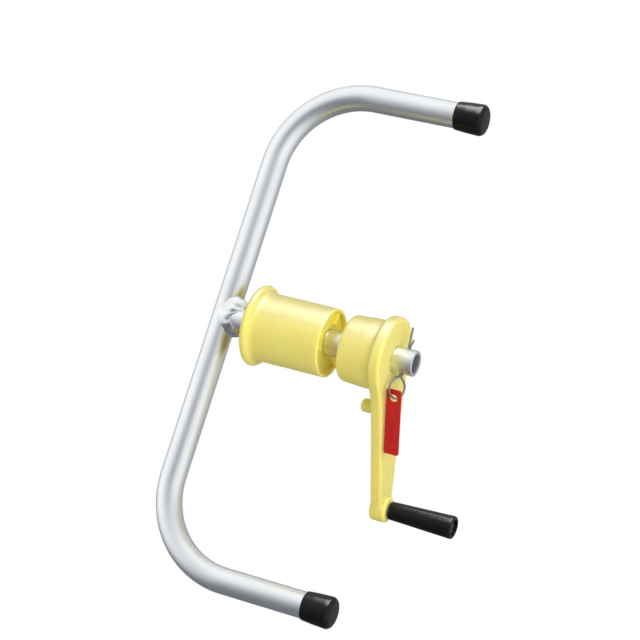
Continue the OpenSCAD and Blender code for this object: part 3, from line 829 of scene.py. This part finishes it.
def ribbed(stretches, loop_rows):
    """Turned grid whose columns take one of two paths: down the pockets' walls and floors, or over the tops
    of the ribs. A rib's half turn at radius r is asin(rib / 2 / r), so that its sides are parallel, and its
    top edges drop a little as they near its sides."""
    deep, shallow = (np.concatenate(paths) for paths in zip(*stretches))
    dive = np.sign(deep[:, 1] - shallow[:, 1]) * np.clip(np.abs(deep[:, 1] - shallow[:, 1]), 0, 1)
    in_pocket = np.linspace(-1, 1, POCKET_COLUMNS)
    on_rib = np.array([-1, -0.9, -0.7, -0.3, 0.3, 0.7, 0.9, 1])
    spread = np.tile(np.concatenate([in_pocket, on_rib]), RIBS)
    rib = np.tile(np.repeat([False, True], [len(in_pocket), len(on_rib)]), RIBS)
    middles = np.radians(90 - 180 / RIBS + 360 / RIBS * np.arange(RIBS))
    start = np.repeat(middles, len(in_pocket) + len(on_rib))
    radius = np.where(rib, shallow[:, :1], deep[:, :1])
    near_side = np.clip((np.abs(spread) - DROP_FROM) / (1 - DROP_FROM), 0, 1)
    edge = RIB_DROP * (1 - np.sqrt(1 - near_side ** 2))
    x = np.where(rib, shallow[:, 1:] + dive[:, None] * edge, deep[:, 1:])
    half = np.arcsin(RIB_T / 2 / radius)
    turn = start + np.where(rib, np.pi / RIBS + spread * half, spread * (np.pi / RIBS - half))
    points = joined(x, radius * np.cos(turn), radius * np.sin(turn))
    return points, grid_quads(*points.shape[:2], loop_rows)


def hub_pocket(cavity, rib, floor, hub):
    """Pocket from the cavity's wall over its floor to the hub, and the top of the rib instead. The rib's
    inner end leans out from the hub's wall by a small draft."""
    return pocket(
        soft([(cavity, rib, 0), (cavity, floor, 2.0), (HUB_R, floor, 2.0), (HUB_R, hub, 0)]),
        soft([(cavity, rib, 0), (HUB_R + RIB_DRAFT, rib, 0.5), (HUB_R, hub, 0)]),
    )


# %% Inner drum: flange, shell, web and hub
LIP, LIP_R = (35.0, 38.5), 4.0
ROOT, ROOT_R = (39.0, 47.665), 6.0
CAVITY_R, WEB_BACK, WEB_FRONT = 30.0, 105.0, 109.0
DRUM_BACK, DRUM_FRONT, RIB_IN = 34.5, 114.0, 1.5
HUB_BACK, HUB_FRONT, HUB_LEAD, HUB_STEP = 39.8, 109.9, 1.0, 0.4
SHELL_FROM, BACK_FROM = 60.0, 32.0

blend = np.degrees(np.arctan2(ROOT[1] - LIP[1], ROOT[0] - LIP[0]))
rib_back, rib_front = DRUM_BACK + RIB_IN, DRUM_FRONT - RIB_IN
hub_rear, hub_step = HUB_BACK + HUB_LEAD, HUB_FRONT - HUB_STEP
rim = soft([
    (CAVITY_R, rib_front, 0), (CAVITY_R, DRUM_FRONT, 0.7), (DRUM_R, DRUM_FRONT, 1.2),
    (DRUM_R, SHELL_FROM, 0),
])
flange = np.concatenate([
    arc(ROOT, ROOT_R, 180, 180 + blend, 14), arc(LIP, LIP_R, blend, -90, 20),
    soft([(BACK_FROM, DRUM_BACK, 0), (CAVITY_R, DRUM_BACK, 0.8), (CAVITY_R, rib_back, 0)]),
])
hub = soft([
    (HUB_R, hub_rear, 0), (HUB_R, HUB_BACK, 0.5), (BORE_R, HUB_BACK, 0.5), (BORE_R, HUB_FRONT, 0.6),
    (HUB_R, HUB_FRONT, 0.3), (HUB_R, hub_step, 0),
])
inner_shell = ribbed([
    plain(distinct(np.concatenate([rim, flange]))),
    hub_pocket(CAVITY_R, rib_back, WEB_BACK, hub_rear),
    plain(hub),
    pocket(
        soft([(HUB_R, hub_step, 0), (HUB_R, WEB_FRONT, 0.3), (CAVITY_R, WEB_FRONT, 1.5),
              (CAVITY_R, rib_front, 0)]),
        soft([(HUB_R, hub_step, 0), (HUB_R + RIB_DRAFT, rib_front, 0.5), (CAVITY_R, rib_front, 0)]),
    ),
], True)
piece("inner_drum", [inner_shell], "inner_drum", yellow_plastic)

# %% [markdown]
# ## Crank
#
# The crank is one moulding: a short drum, a flange that narrows into a long arm, a boss for the grip and a
# peg that drives the spool. The plate's edge is a stack of outlines, each drawn in a little more as it
# rounds over. The drum behind it is a ribbed grid again, and the two flat faces between them are filled.
# Boss and peg are turned apart and run into the plate, and a union cuts away what lies inside, so that the
# whole crank is one closed skin.

# %% Outline of the plate
PLATE_BACK, PLATE_FRONT, EDGE_ROUND = 168.0, 179.5, 3.0
ARM, ROOT_HALF, TIP_R, HOLLOW_R, FLANGE_R = 158.3, 31.0, 12.8, 120.0, 39.0
CRANK_TURN = 36.4

taper = np.arcsin((ROOT_HALF - TIP_R) / ARM)
side_out = np.array([np.cos(taper), np.sin(taper)])
side_down = np.array([-np.sin(taper), np.cos(taper)])
hollow_at = side_out * (ROOT_HALF + HOLLOW_R) + side_down * np.sqrt(
    (FLANGE_R + HOLLOW_R) ** 2 - (ROOT_HALF + HOLLOW_R) ** 2
)
hollow_turn = np.degrees(np.arctan2(hollow_at[1], hollow_at[0]))


def plate_ring(x, inset):
    """Closed outline at one x, drawn in by inset: flange arc, hollow arc and tip arc, and their mirror
    image. The straight side of the arm joins the last two."""
    half = np.concatenate([
        arc((0, 0), FLANGE_R - inset, -90, hollow_turn, 64),
        arc(hollow_at, HOLLOW_R + inset, hollow_turn + 180, np.degrees(taper) + 180, 24)[1:],
        arc((0, ARM), TIP_R - inset, np.degrees(taper), 90, 24),
    ])
    both = np.concatenate([half, (half * (-1, 1))[-2:0:-1]])
    return joined(x, both[:, 0], -both[:, 1])


def cranked(points):
    """Turns points about the axle from straight down to where the crank stands."""
    c, s = np.cos(np.radians(CRANK_TURN)), np.sin(np.radians(CRANK_TURN))
    y, z = points[..., 1], points[..., 2]
    return joined(points[..., 0], c * y - s * z, s * y + c * z)


def filled(*rings):
    """Triangles of a flat face with holes: the first ring is its border, the others its holes."""
    loops = [[Vector(p) for p in ring[:, [1, 2, 0]]] for ring in rings]
    return np.concatenate(rings), np.array(tessellate_polygon(loops))


SUPPORT = 0.25
curl = np.radians(np.linspace(0, 90, 8))
drawn_in, sunk = EDGE_ROUND * (1 - np.cos(curl)), EDGE_ROUND * (1 - np.sin(curl))
edge_rings = [plate_ring(PLATE_FRONT, EDGE_ROUND + SUPPORT)]
edge_rings += [plate_ring(PLATE_FRONT - s, d) for s, d in zip(sunk[::-1], drawn_in[::-1])]
edge_rings += [plate_ring(PLATE_BACK + s, d) for s, d in zip(sunk, drawn_in)]
edge_rings += [plate_ring(PLATE_BACK, EDGE_ROUND + SUPPORT)]
edge = np.stack(edge_rings)
print("plate outline:", edge.shape[1], "points in", edge.shape[0], "rings")

# %% Drum, boss and peg of the crank
BOLT_HOLE, NUT_POCKET, POCKET_FLOOR, TIP = 3.05, 6.75, 174.1, (0.0, -ARM)
BOSS_BACK, BOSS_FRONT, BOSS_R, BOSS_ROUND = 166.5, 182.7, 13.0, 2.5
CRANK_FREE, CRANK_CAVITY, CRANK_FLOOR, CRANK_HUB = 132.0, 26.0, 167.6, 140.0
BOLT_MIDDLE, TIP_HOLE_R, TIP_HOLE_SIDES = 178.0, 8.5, 48
PEG_R, PEG_END, PEG_AT = 6.5, 148.5, (0.0, -54.5)
PEG_SIDE, PEG_ROOT, PEG_FILLET = 160.0, 168.2, 1.5
DRUM_SIDE, DRUM_TAPER, FREE_R, DRUM_FILLET, BORE_MOUTH = 160.0, 156.0, 31.48, 3.0, 13.6

crank_rib, crank_hub = CRANK_FREE + RIB_IN, CRANK_HUB + HUB_LEAD
drum_outside = soft([
    (DRUM_R, DRUM_SIDE, 0), (DRUM_R, DRUM_TAPER, 20.0), (FREE_R, CRANK_FREE, 3.5),
    (CRANK_CAVITY, CRANK_FREE, 0.8), (CRANK_CAVITY, crank_rib, 0),
], 8)
fillet_at = (DRUM_R + DRUM_FILLET, PLATE_BACK - DRUM_FILLET)
drum_fillet = np.concatenate([
    [(fillet_at[0], PLATE_BACK)], arc(fillet_at, DRUM_FILLET, 90, 180, 8)
])
crank_bore = soft([
    (HUB_R, crank_hub, 0), (HUB_R, CRANK_HUB, 0.5), (BORE_R, CRANK_HUB, 0.5), (BORE_R, PLATE_FRONT, 0.8),
    (BORE_MOUTH, PLATE_FRONT, 0),
])
drum_points, drum_faces = ribbed([
    plain(distinct(np.concatenate([drum_fillet, drum_outside]))),
    hub_pocket(CRANK_CAVITY, crank_rib, CRANK_FLOOR, crank_hub),
    plain(crank_bore),
], False)
boss = lathe(soft([
    (BOLT_HOLE, BOLT_MIDDLE, 0), (BOLT_HOLE, BOSS_FRONT, 0.3), (BOSS_R, BOSS_FRONT, BOSS_ROUND),
    (BOSS_R, BOSS_BACK, BOSS_ROUND), (NUT_POCKET, BOSS_BACK, 0.5), (NUT_POCKET, POCKET_FLOOR, 0.5),
    (BOLT_HOLE, POCKET_FLOOR, 0.2), (BOLT_HOLE, BOLT_MIDDLE, 0),
], 8), 3.0, axis=TIP)
peg = lathe(np.concatenate([
    soft([(0.0, PEG_END, 0), (PEG_R, PEG_END, 3.5), (PEG_R, PEG_SIDE, 0)], 8),
    arc((PEG_R + PEG_FILLET, PEG_ROOT - PEG_FILLET), PEG_FILLET, 180, 90, 6), [(0.0, PEG_ROOT)],
]), 3.0, sides=64, axis=PEG_AT)

# %% One closed skin for the crank
spoke = turns(TIP_HOLE_SIDES)
tip_front, tip_back = (
    joined(x, TIP_HOLE_R * np.cos(spoke), TIP[1] + TIP_HOLE_R * np.sin(spoke))
    for x in (PLATE_FRONT, PLATE_BACK)
)
plate_and_drum = [
    (edge, grid_quads(*edge.shape[:2])),
    filled(edge[0], drum_points[-1], tip_front),
    filled(edge[-1], drum_points[0], tip_back),
    (np.stack([tip_front, tip_back]), grid_quads(2, TIP_HOLE_SIDES)),
    (drum_points, drum_faces),
]
crank_points, crank_faces = united([plate_and_drum, [boss], [peg]])
piece("crank_drum", [(cranked(crank_points), crank_faces)], "crank", yellow_plastic)

# %% [markdown]
# ## Grip, bolt, washers and nut
#
# The grip is turned: a taper with rounded ends, a running bore and a counterbore that hides the bolt's
# head. The bolt is turned too, with two changes that a lathe can't do: its thread is a groove whose depth
# follows x minus the turn, and the key socket in its head is a ring whose radius is a hexagon's.

# %% Grip
GRIP_BACK, GRIP_MIDDLE, GRIP_FLOOR, GRIP_FRONT = 184.0, 220.0, 241.0, 250.0
GRIP_BORE, GRIP_SMALL, GRIP_LARGE, COUNTERBORE = 5.08, 8.75, 11.2, 7.75
GRIP_AXIS = tuple(cranked(np.array([0, 0, -ARM]))[1:])
grip_profile = soft([
    (GRIP_BORE, GRIP_MIDDLE, 0), (GRIP_BORE, GRIP_BACK, 0.5), (GRIP_SMALL, GRIP_BACK, 1.5),
    (GRIP_LARGE, GRIP_FRONT, 2.0), (COUNTERBORE, GRIP_FRONT, 0.6), (COUNTERBORE, GRIP_FLOOR, 0.3),
    (GRIP_BORE, GRIP_FLOOR, 0.3), (GRIP_BORE, GRIP_MIDDLE, 0),
], 6)
piece("grip_sleeve", [lathe(grip_profile, 3.0, axis=GRIP_AXIS)], "grip", black_plastic)

# %% Bolt
BOLT_SIDES, HEX_START = 96, CRANK_TURN - 90
PITCH, THREAD_DEPTH, THREAD_R, STEPS_PER_TURN = 1.0, 0.5, 3.0, 10
BOLT_TIP, THREAD_FROM, THREAD_TO, SHANK_FROM = 167.1, 167.7, 175.0, 176.0
SHOULDER_R, SHOULDER_BACK = 5.0, 183.7
HEAD_R, HEAD_BACK, HEAD_FRONT, HEAD_EDGE = 6.5, 241.3, 247.3, 5.0
KEY_R, KEY_FLOOR = 3.0, 243.8

hex_turn = np.radians(np.linspace(0, 360, BOLT_SIDES, endpoint=False) % 60 - 30)
on_bolt = {"axis": GRIP_AXIS, "start": HEX_START}


def bolt_rows():
    """Rows of the bolt from its tip to the floor of its key socket, as radius and x."""
    thread_x = np.arange(THREAD_FROM, THREAD_TO, PITCH / STEPS_PER_TURN)[:, None]
    depth = np.abs(2 * ((thread_x / PITCH - np.linspace(0, 1, BOLT_SIDES, endpoint=False)) % 1) - 1)
    fade = np.clip(thread_x - THREAD_FROM, 0.3, 1)
    tip = np.array([(0, BOLT_TIP), (2.2, BOLT_TIP), (2.5, BOLT_TIP + 0.3)])
    body = soft([
        (THREAD_R, SHANK_FROM, 0), (THREAD_R, SHOULDER_BACK, 0), (SHOULDER_R, SHOULDER_BACK, 0.2),
        (SHOULDER_R, HEAD_BACK, 0.2), (HEAD_R, HEAD_BACK, 0.3), (HEAD_R, HEAD_FRONT, 0.9),
        (HEAD_EDGE, HEAD_FRONT, 0),
    ], 4)
    key = KEY_R / np.cos(hex_turn)
    even = 0 * key
    radius = np.concatenate([
        tip[:, :1] + even, THREAD_R - THREAD_DEPTH * depth * fade, body[:, :1] + even, [key, key, even]
    ])
    x = np.concatenate([
        tip[:, 1:] + even, thread_x + even, body[:, 1:] + even,
        [HEAD_FRONT + even, KEY_FLOOR + even, KEY_FLOOR + even],
    ])
    return radius, x


piece("grip_bolt", [turned(*bolt_rows(), **on_bolt)], "crank", zinc)

# %% Washers and nut
NUT_BACK, NUT_FRONT, FLAT_R = 168.1, 173.1, 5.0
NUT_FACE, NUT_MOUTH, MOUTH_DEPTH, CORNER_SLOPE = 4.75, 3.4, 0.5, 0.58
WASHER_THICK, WASHER_EDGE = 1.0, 0.25

for node, outside, x0 in (("grip_washer", 5.75, BOSS_FRONT), ("nut_washer", 6.25, NUT_FRONT)):
    section = ring_profile(BOLT_HOLE, outside, x0, x0 + WASHER_THICK, WASHER_EDGE)
    piece(node, [lathe(section, axis=GRIP_AXIS)], "crank", zinc)

corner = FLAT_R / np.cos(hex_turn)
nut_rows = (
    (BOLT_HOLE, NUT_BACK + MOUTH_DEPTH), (NUT_MOUTH, NUT_BACK), (NUT_FACE, NUT_BACK),
    (corner, NUT_BACK + CORNER_SLOPE * (corner - NUT_FACE)), (corner, NUT_FRONT),
    (NUT_MOUTH, NUT_FRONT), (BOLT_HOLE, NUT_FRONT - MOUTH_DEPTH),
)
nut_radius, nut_x = (np.stack([row[k] + 0 * corner for row in nut_rows]) for k in (0, 1))
nut = turned(nut_radius, nut_x, loop_rows=True, **on_bolt)
piece("grip_nut", [nut], "crank", zinc, crisp=28)

# %% [markdown]
# ## Spring pin
#
# The pin is one wire, bent flat: a long leg and a short one go up through the axle, and below it the wire
# opens into a loop. The path is a row of arcs and straight runs, and the same carrier as for the tube takes
# a small ring along it. The ring closes to a point at both cut ends.

# %% Wire along its path
WIRE_R, LEG_U, LEAN_Z, LEAN_R = 1.0, 1.1, 14.25, 8.0
LOOP_R, NECK_R, NECK_Z = 10.0, 3.0, -13.45
PIN_TURN = np.radians(66)
CUT_EDGE, WIRE_ROWS, WIRE_SIDES = 0.5, 300, 20
LONG_LEG, LONG_LEAN, SHORT_LEG, SHORT_LEAN = 17.5, 6.0, 6.5, 18.0

neck_turn = np.degrees(np.arccos((LEG_U + NECK_R) / (LOOP_R + NECK_R)))
loop_z = NECK_Z - (LOOP_R + NECK_R) * np.sin(np.radians(neck_turn))


def leaning(length, lean, side):
    """Leg above the axle, from its bend to its tip: an arc that turns by the lean, then a straight run."""
    bend = arc((LEAN_R, LEAN_Z), LEAN_R, 180, 180 - lean, 8) * (-1, 1) - (LEG_U, 0)
    way = np.array([-np.sin(np.radians(lean)), np.cos(np.radians(lean))])
    rest = length - LEAN_R * np.tan(np.radians(lean / 2))
    leg = np.concatenate([bend, [bend[-1] + rest * way]])
    return leg * (-side, 1)


long_leg, short_leg = leaning(LONG_LEG, LONG_LEAN, -1), leaning(SHORT_LEG, SHORT_LEAN, 1)
pin_path = np.concatenate([
    long_leg[::-1],
    arc((-LEG_U - NECK_R, NECK_Z), NECK_R, 0, -neck_turn, 24),
    arc((0, loop_z), LOOP_R, 180 - neck_turn, 360 + neck_turn, 120),
    arc((LEG_U + NECK_R, NECK_Z), NECK_R, 180 + neck_turn, 180, 24),
    short_leg,
])
whole = path_length(pin_path)
close = np.radians(np.linspace(90, 0, 5))
lead, narrow = CUT_EDGE * (1 - np.sin(close)), WIRE_R - CUT_EDGE * (1 - np.cos(close))
body_run = np.linspace(CUT_EDGE, whole - CUT_EDGE, WIRE_ROWS)[1:-1]
wire_at = np.concatenate([[0], lead, body_run, whole - lead[::-1], [whole]])
wire_r = np.concatenate([[0], narrow, 0 * body_run + WIRE_R, narrow[::-1], [0]])
pin_across = (np.cos(PIN_TURN), np.sin(PIN_TURN), 0)
wire_points, wire_run = carried(
    pin_path, wire_at, wire_r, WIRE_SIDES, pin_across, (0, 0, 1), (PIN_X, 0, 0)
)
wire_faces = grid_quads(len(wire_at), WIRE_SIDES)
piece("retaining_pin", [(wire_points, wire_faces, wire_run)], "pin", spring_wire)
print("wire length in mm:", round(whole))

# %% [markdown]
# ## Red tag
#
# The tag is a flat strip with round corners and a hole. Every point of its outline is seen from the hole,
# so the strip is a grid of rings: from the hole's edge out to the outline, over the rounded edge, and back
# to the hole on the other face.

# %% Strip with a hole
TAG_HALF, TAG_THICK, TAG_CORNER, HOLE_R = 7.6, 0.75, 2.5, 3.75
TAG_LEFT, TAG_TOP, TAG_BOTTOM = -7.6, -9.0, 59.0
TAG_TURN = np.radians(38)
SOFT_EDGE = 0.4

strip_right = TAG_LEFT + 2 * TAG_HALF
strip = spaced(soft([
    (0.0, TAG_TOP, 0), (strip_right, TAG_TOP, TAG_CORNER), (strip_right, TAG_BOTTOM, TAG_CORNER),
    (TAG_LEFT, TAG_BOTTOM, TAG_CORNER), (TAG_LEFT, TAG_TOP, TAG_CORNER), (0.0, TAG_TOP, 0),
], 10), 1.0)[:-1]
eye = HOLE_R * strip / np.linalg.norm(strip, axis=1, keepdims=True)
tag_middle = np.array([TAG_LEFT + TAG_HALF, (TAG_TOP + TAG_BOTTOM) / 2])


def tag_ring(share, draw_in, height):
    """Ring between the hole and the outline, the outline drawn in and the hole opened by draw_in."""
    inner = eye * (1 + draw_in / HOLE_R)
    shrink = 1 - draw_in / np.array([TAG_HALF, (TAG_BOTTOM - TAG_TOP) / 2])
    outer = tag_middle + (strip - tag_middle) * shrink
    place = inner + share * (outer - inner)
    return joined(*place.T, height)


roll = np.radians(np.linspace(90, -90, 9))
over = [
    (SOFT_EDGE * (1 - np.cos(a)), np.sign(a) * (TAG_THICK - SOFT_EDGE) + SOFT_EDGE * np.sin(a))
    for a in roll
]
face_shares = (0.0, 0.03, 0.3, 0.65, 0.97)
tag_rows = [tag_ring(share, SOFT_EDGE, TAG_THICK) for share in face_shares]
tag_rows += [tag_ring(1.0, draw_in, height) for draw_in, height in over]
tag_rows += [tag_ring(share, SOFT_EDGE, -TAG_THICK) for share in face_shares[::-1]]
tag_rows += [tag_ring(0.0, draw_in, height) for draw_in, height in over[::-1]][1:-1]
tag_grid = np.stack(tag_rows)
hang = np.array([0, np.sin(TAG_TURN), -np.cos(TAG_TURN)])
normal = np.array([0, np.cos(TAG_TURN), np.sin(TAG_TURN)])
hook = np.array([PIN_X, 0, loop_z - LOOP_R])
tag_points = hook + tag_grid @ np.stack([np.array([1, 0, 0]), hang, normal])
tag_faces = grid_quads(*tag_points.shape[:2], loop_rows=True)
piece("red_tag", [(tag_points, tag_faces)], "tag", red_plastic)

# %% [markdown]
# ## Floor, light and background
#
# The reel is held in the air over a pale floor, as in a hand. The floor thins out with distance, so that no
# horizon shows. A weak key lamp stands to the camera's upper left, a fill lamp in front on the right and a
# third lamp behind. A fourth, overhead, only draws the sheen on vinyl and plastic, which is why it is
# linked to those pieces and gives no plain light.

# %% Floor
FLOOR_Z, FLOOR_R, FADE_FROM, FADE_TO, FLOOR_SIDES = -0.50, 2.0, 0.7, 1.7, 96
floor_mesh = bpy.data.meshes.new("floor")
spokes = turns(FLOOR_SIDES)
disc = joined(FLOOR_R * np.cos(spokes), FLOOR_R * np.sin(spokes), FLOOR_Z)
floor_mesh.from_pydata(disc.tolist(), [], [list(range(len(disc)))])
floor = new_object("floor", floor_mesh)
paper, tree, shader = new_finish("pale paper floor", {"Roughness": 0.9})
place = object_place(tree)
fibre = between(tree, noise(tree, place, 300.0, 4.0), 0.3, 0.7)
reach = add(tree, "ShaderNodeVectorMath", {0: place}, operation="LENGTH").outputs["Value"]
plug(tree, shader, {
    "Alpha": between(tree, reach, FADE_FROM, FADE_TO, 1.0, 0.0),
    "Base Color": tint(tree, fibre, (0.84, 0.84, 0.84, 1), (0.88, 0.88, 0.88, 1)),
})
floor_mesh.materials.append(paper)
floor.visible_glossy = False
print("floor at", FLOOR_Z, "m")


# %% Lamps
def soft_lamp(name, way, distance, size, power):
    """Square area lamp that looks at the reel from a direction."""
    lamp = new_object(name, bpy.data.lights.new(name, "AREA"))
    lamp.data.size, lamp.data.energy = size, power
    lamp.visible_glossy = False
    lamp.location = way.normalized() * distance
    lamp.rotation_mode = "QUATERNION"
    lamp.rotation_quaternion = way.to_track_quat("Z", "Y")
    return lamp


key_way = up * 0.5 - right * 0.35 + back * 0.8
fill_way = right * 0.55 + back * 0.8 + up * 0.2
rear_way = up * 0.1 - right * 0.35 - back * 0.9
sheen_way = up * 0.93 + right * 0.22 + back * 0.3
soft_lamp("key lamp", key_way, distance=1.8, size=1.4, power=4.5)
soft_lamp("fill lamp", fill_way, distance=2.0, size=1.6, power=18)
soft_lamp("rear lamp", rear_way, distance=2.0, size=1.6, power=14)
sheen_lamp = soft_lamp("sheen lamp", sheen_way, distance=1.5, size=1.4, power=130)
sheen_lamp.visible_glossy, sheen_lamp.visible_diffuse = True, False
plastics = bpy.data.collections.new("plastic pieces")
for node in ("inner_drum", "crank_drum", "grip_sleeve", "red_tag", "upper_end_cap", "lower_end_cap"):
    plastics.objects.link(made[node])
sheen_lamp.light_linking.receiver_collection = plastics

# %% [markdown]
# ## The world as a light tent
#
# A photographer puts metal in a tent of white cloth, because metal shows only what is round it. Here the
# world does that, and it gives each kind of ray its own answer. The lens sees plain white. Shiny surfaces
# see a dark grey tent with four soft panels: a wide grey one on the right, and white ones on the right
# front, on the left and overhead. Matt surfaces get one even room light. The world isn't sampled as a lamp,
# because such samples don't know what kind of ray they stand for, and the answers would be mixed up.

# %% World light
world = bpy.data.worlds.new("light tent")
bpy.context.scene.world = world
world.cycles.sampling_method = "NONE"
world.use_nodes = True
tree = world.node_tree
tree.nodes.clear()
ray = add(tree, "ShaderNodeLightPath").outputs
way = add(tree, "ShaderNodeTexCoord").outputs["Generated"]


def facing(direction):
    """Cosine between the way a ray goes and a direction."""
    sockets = {0: way, 1: direction.normalized()}
    return add(tree, "ShaderNodeVectorMath", sockets, operation="DOT_PRODUCT").outputs["Value"]


tent = (0.17, 0.18, 0.20, 1)
for direction, low, high, colour in (
    (right + up * 0.1, 0.0, 0.9, (0.48, 0.50, 0.53, 1)),
    (right * 0.7 + back * 0.6 - up * 0.15, 0.55, 0.95, (1.07, 1.09, 1.10, 1)),
    (up * 0.45 - right * 0.9, 0.50, 0.95, (1.12, 1.15, 1.17, 1)),
    (up - right * 0.2 + back * 0.1, 0.30, 0.90, (1.06, 1.08, 1.08, 1)),
):
    tent = tint(tree, between(tree, facing(direction), low, high), tent, colour)
ROOM_LIGHT, WHITE = (0.57, 0.58, 0.59, 1), (1, 1, 1, 1)
tent, room, white = (
    add(tree, "ShaderNodeBackground", {"Color": colour, "Strength": 1.0}).outputs[0]
    for colour in (tent, ROOM_LIGHT, WHITE)
)
seen = maths(tree, "MAXIMUM", ray["Is Camera Ray"], ray["Is Transmission Ray"])
lit = add(tree, "ShaderNodeMixShader", {0: ray["Is Glossy Ray"], 1: room, 2: tent})
shown = add(tree, "ShaderNodeMixShader", {0: seen, 1: lit.outputs[0], 2: white})
add(tree, "ShaderNodeOutputWorld", {"Surface": shown.outputs[0]})
bpy.context.scene.view_settings.view_transform = "Standard"
print("world set:", world.name)
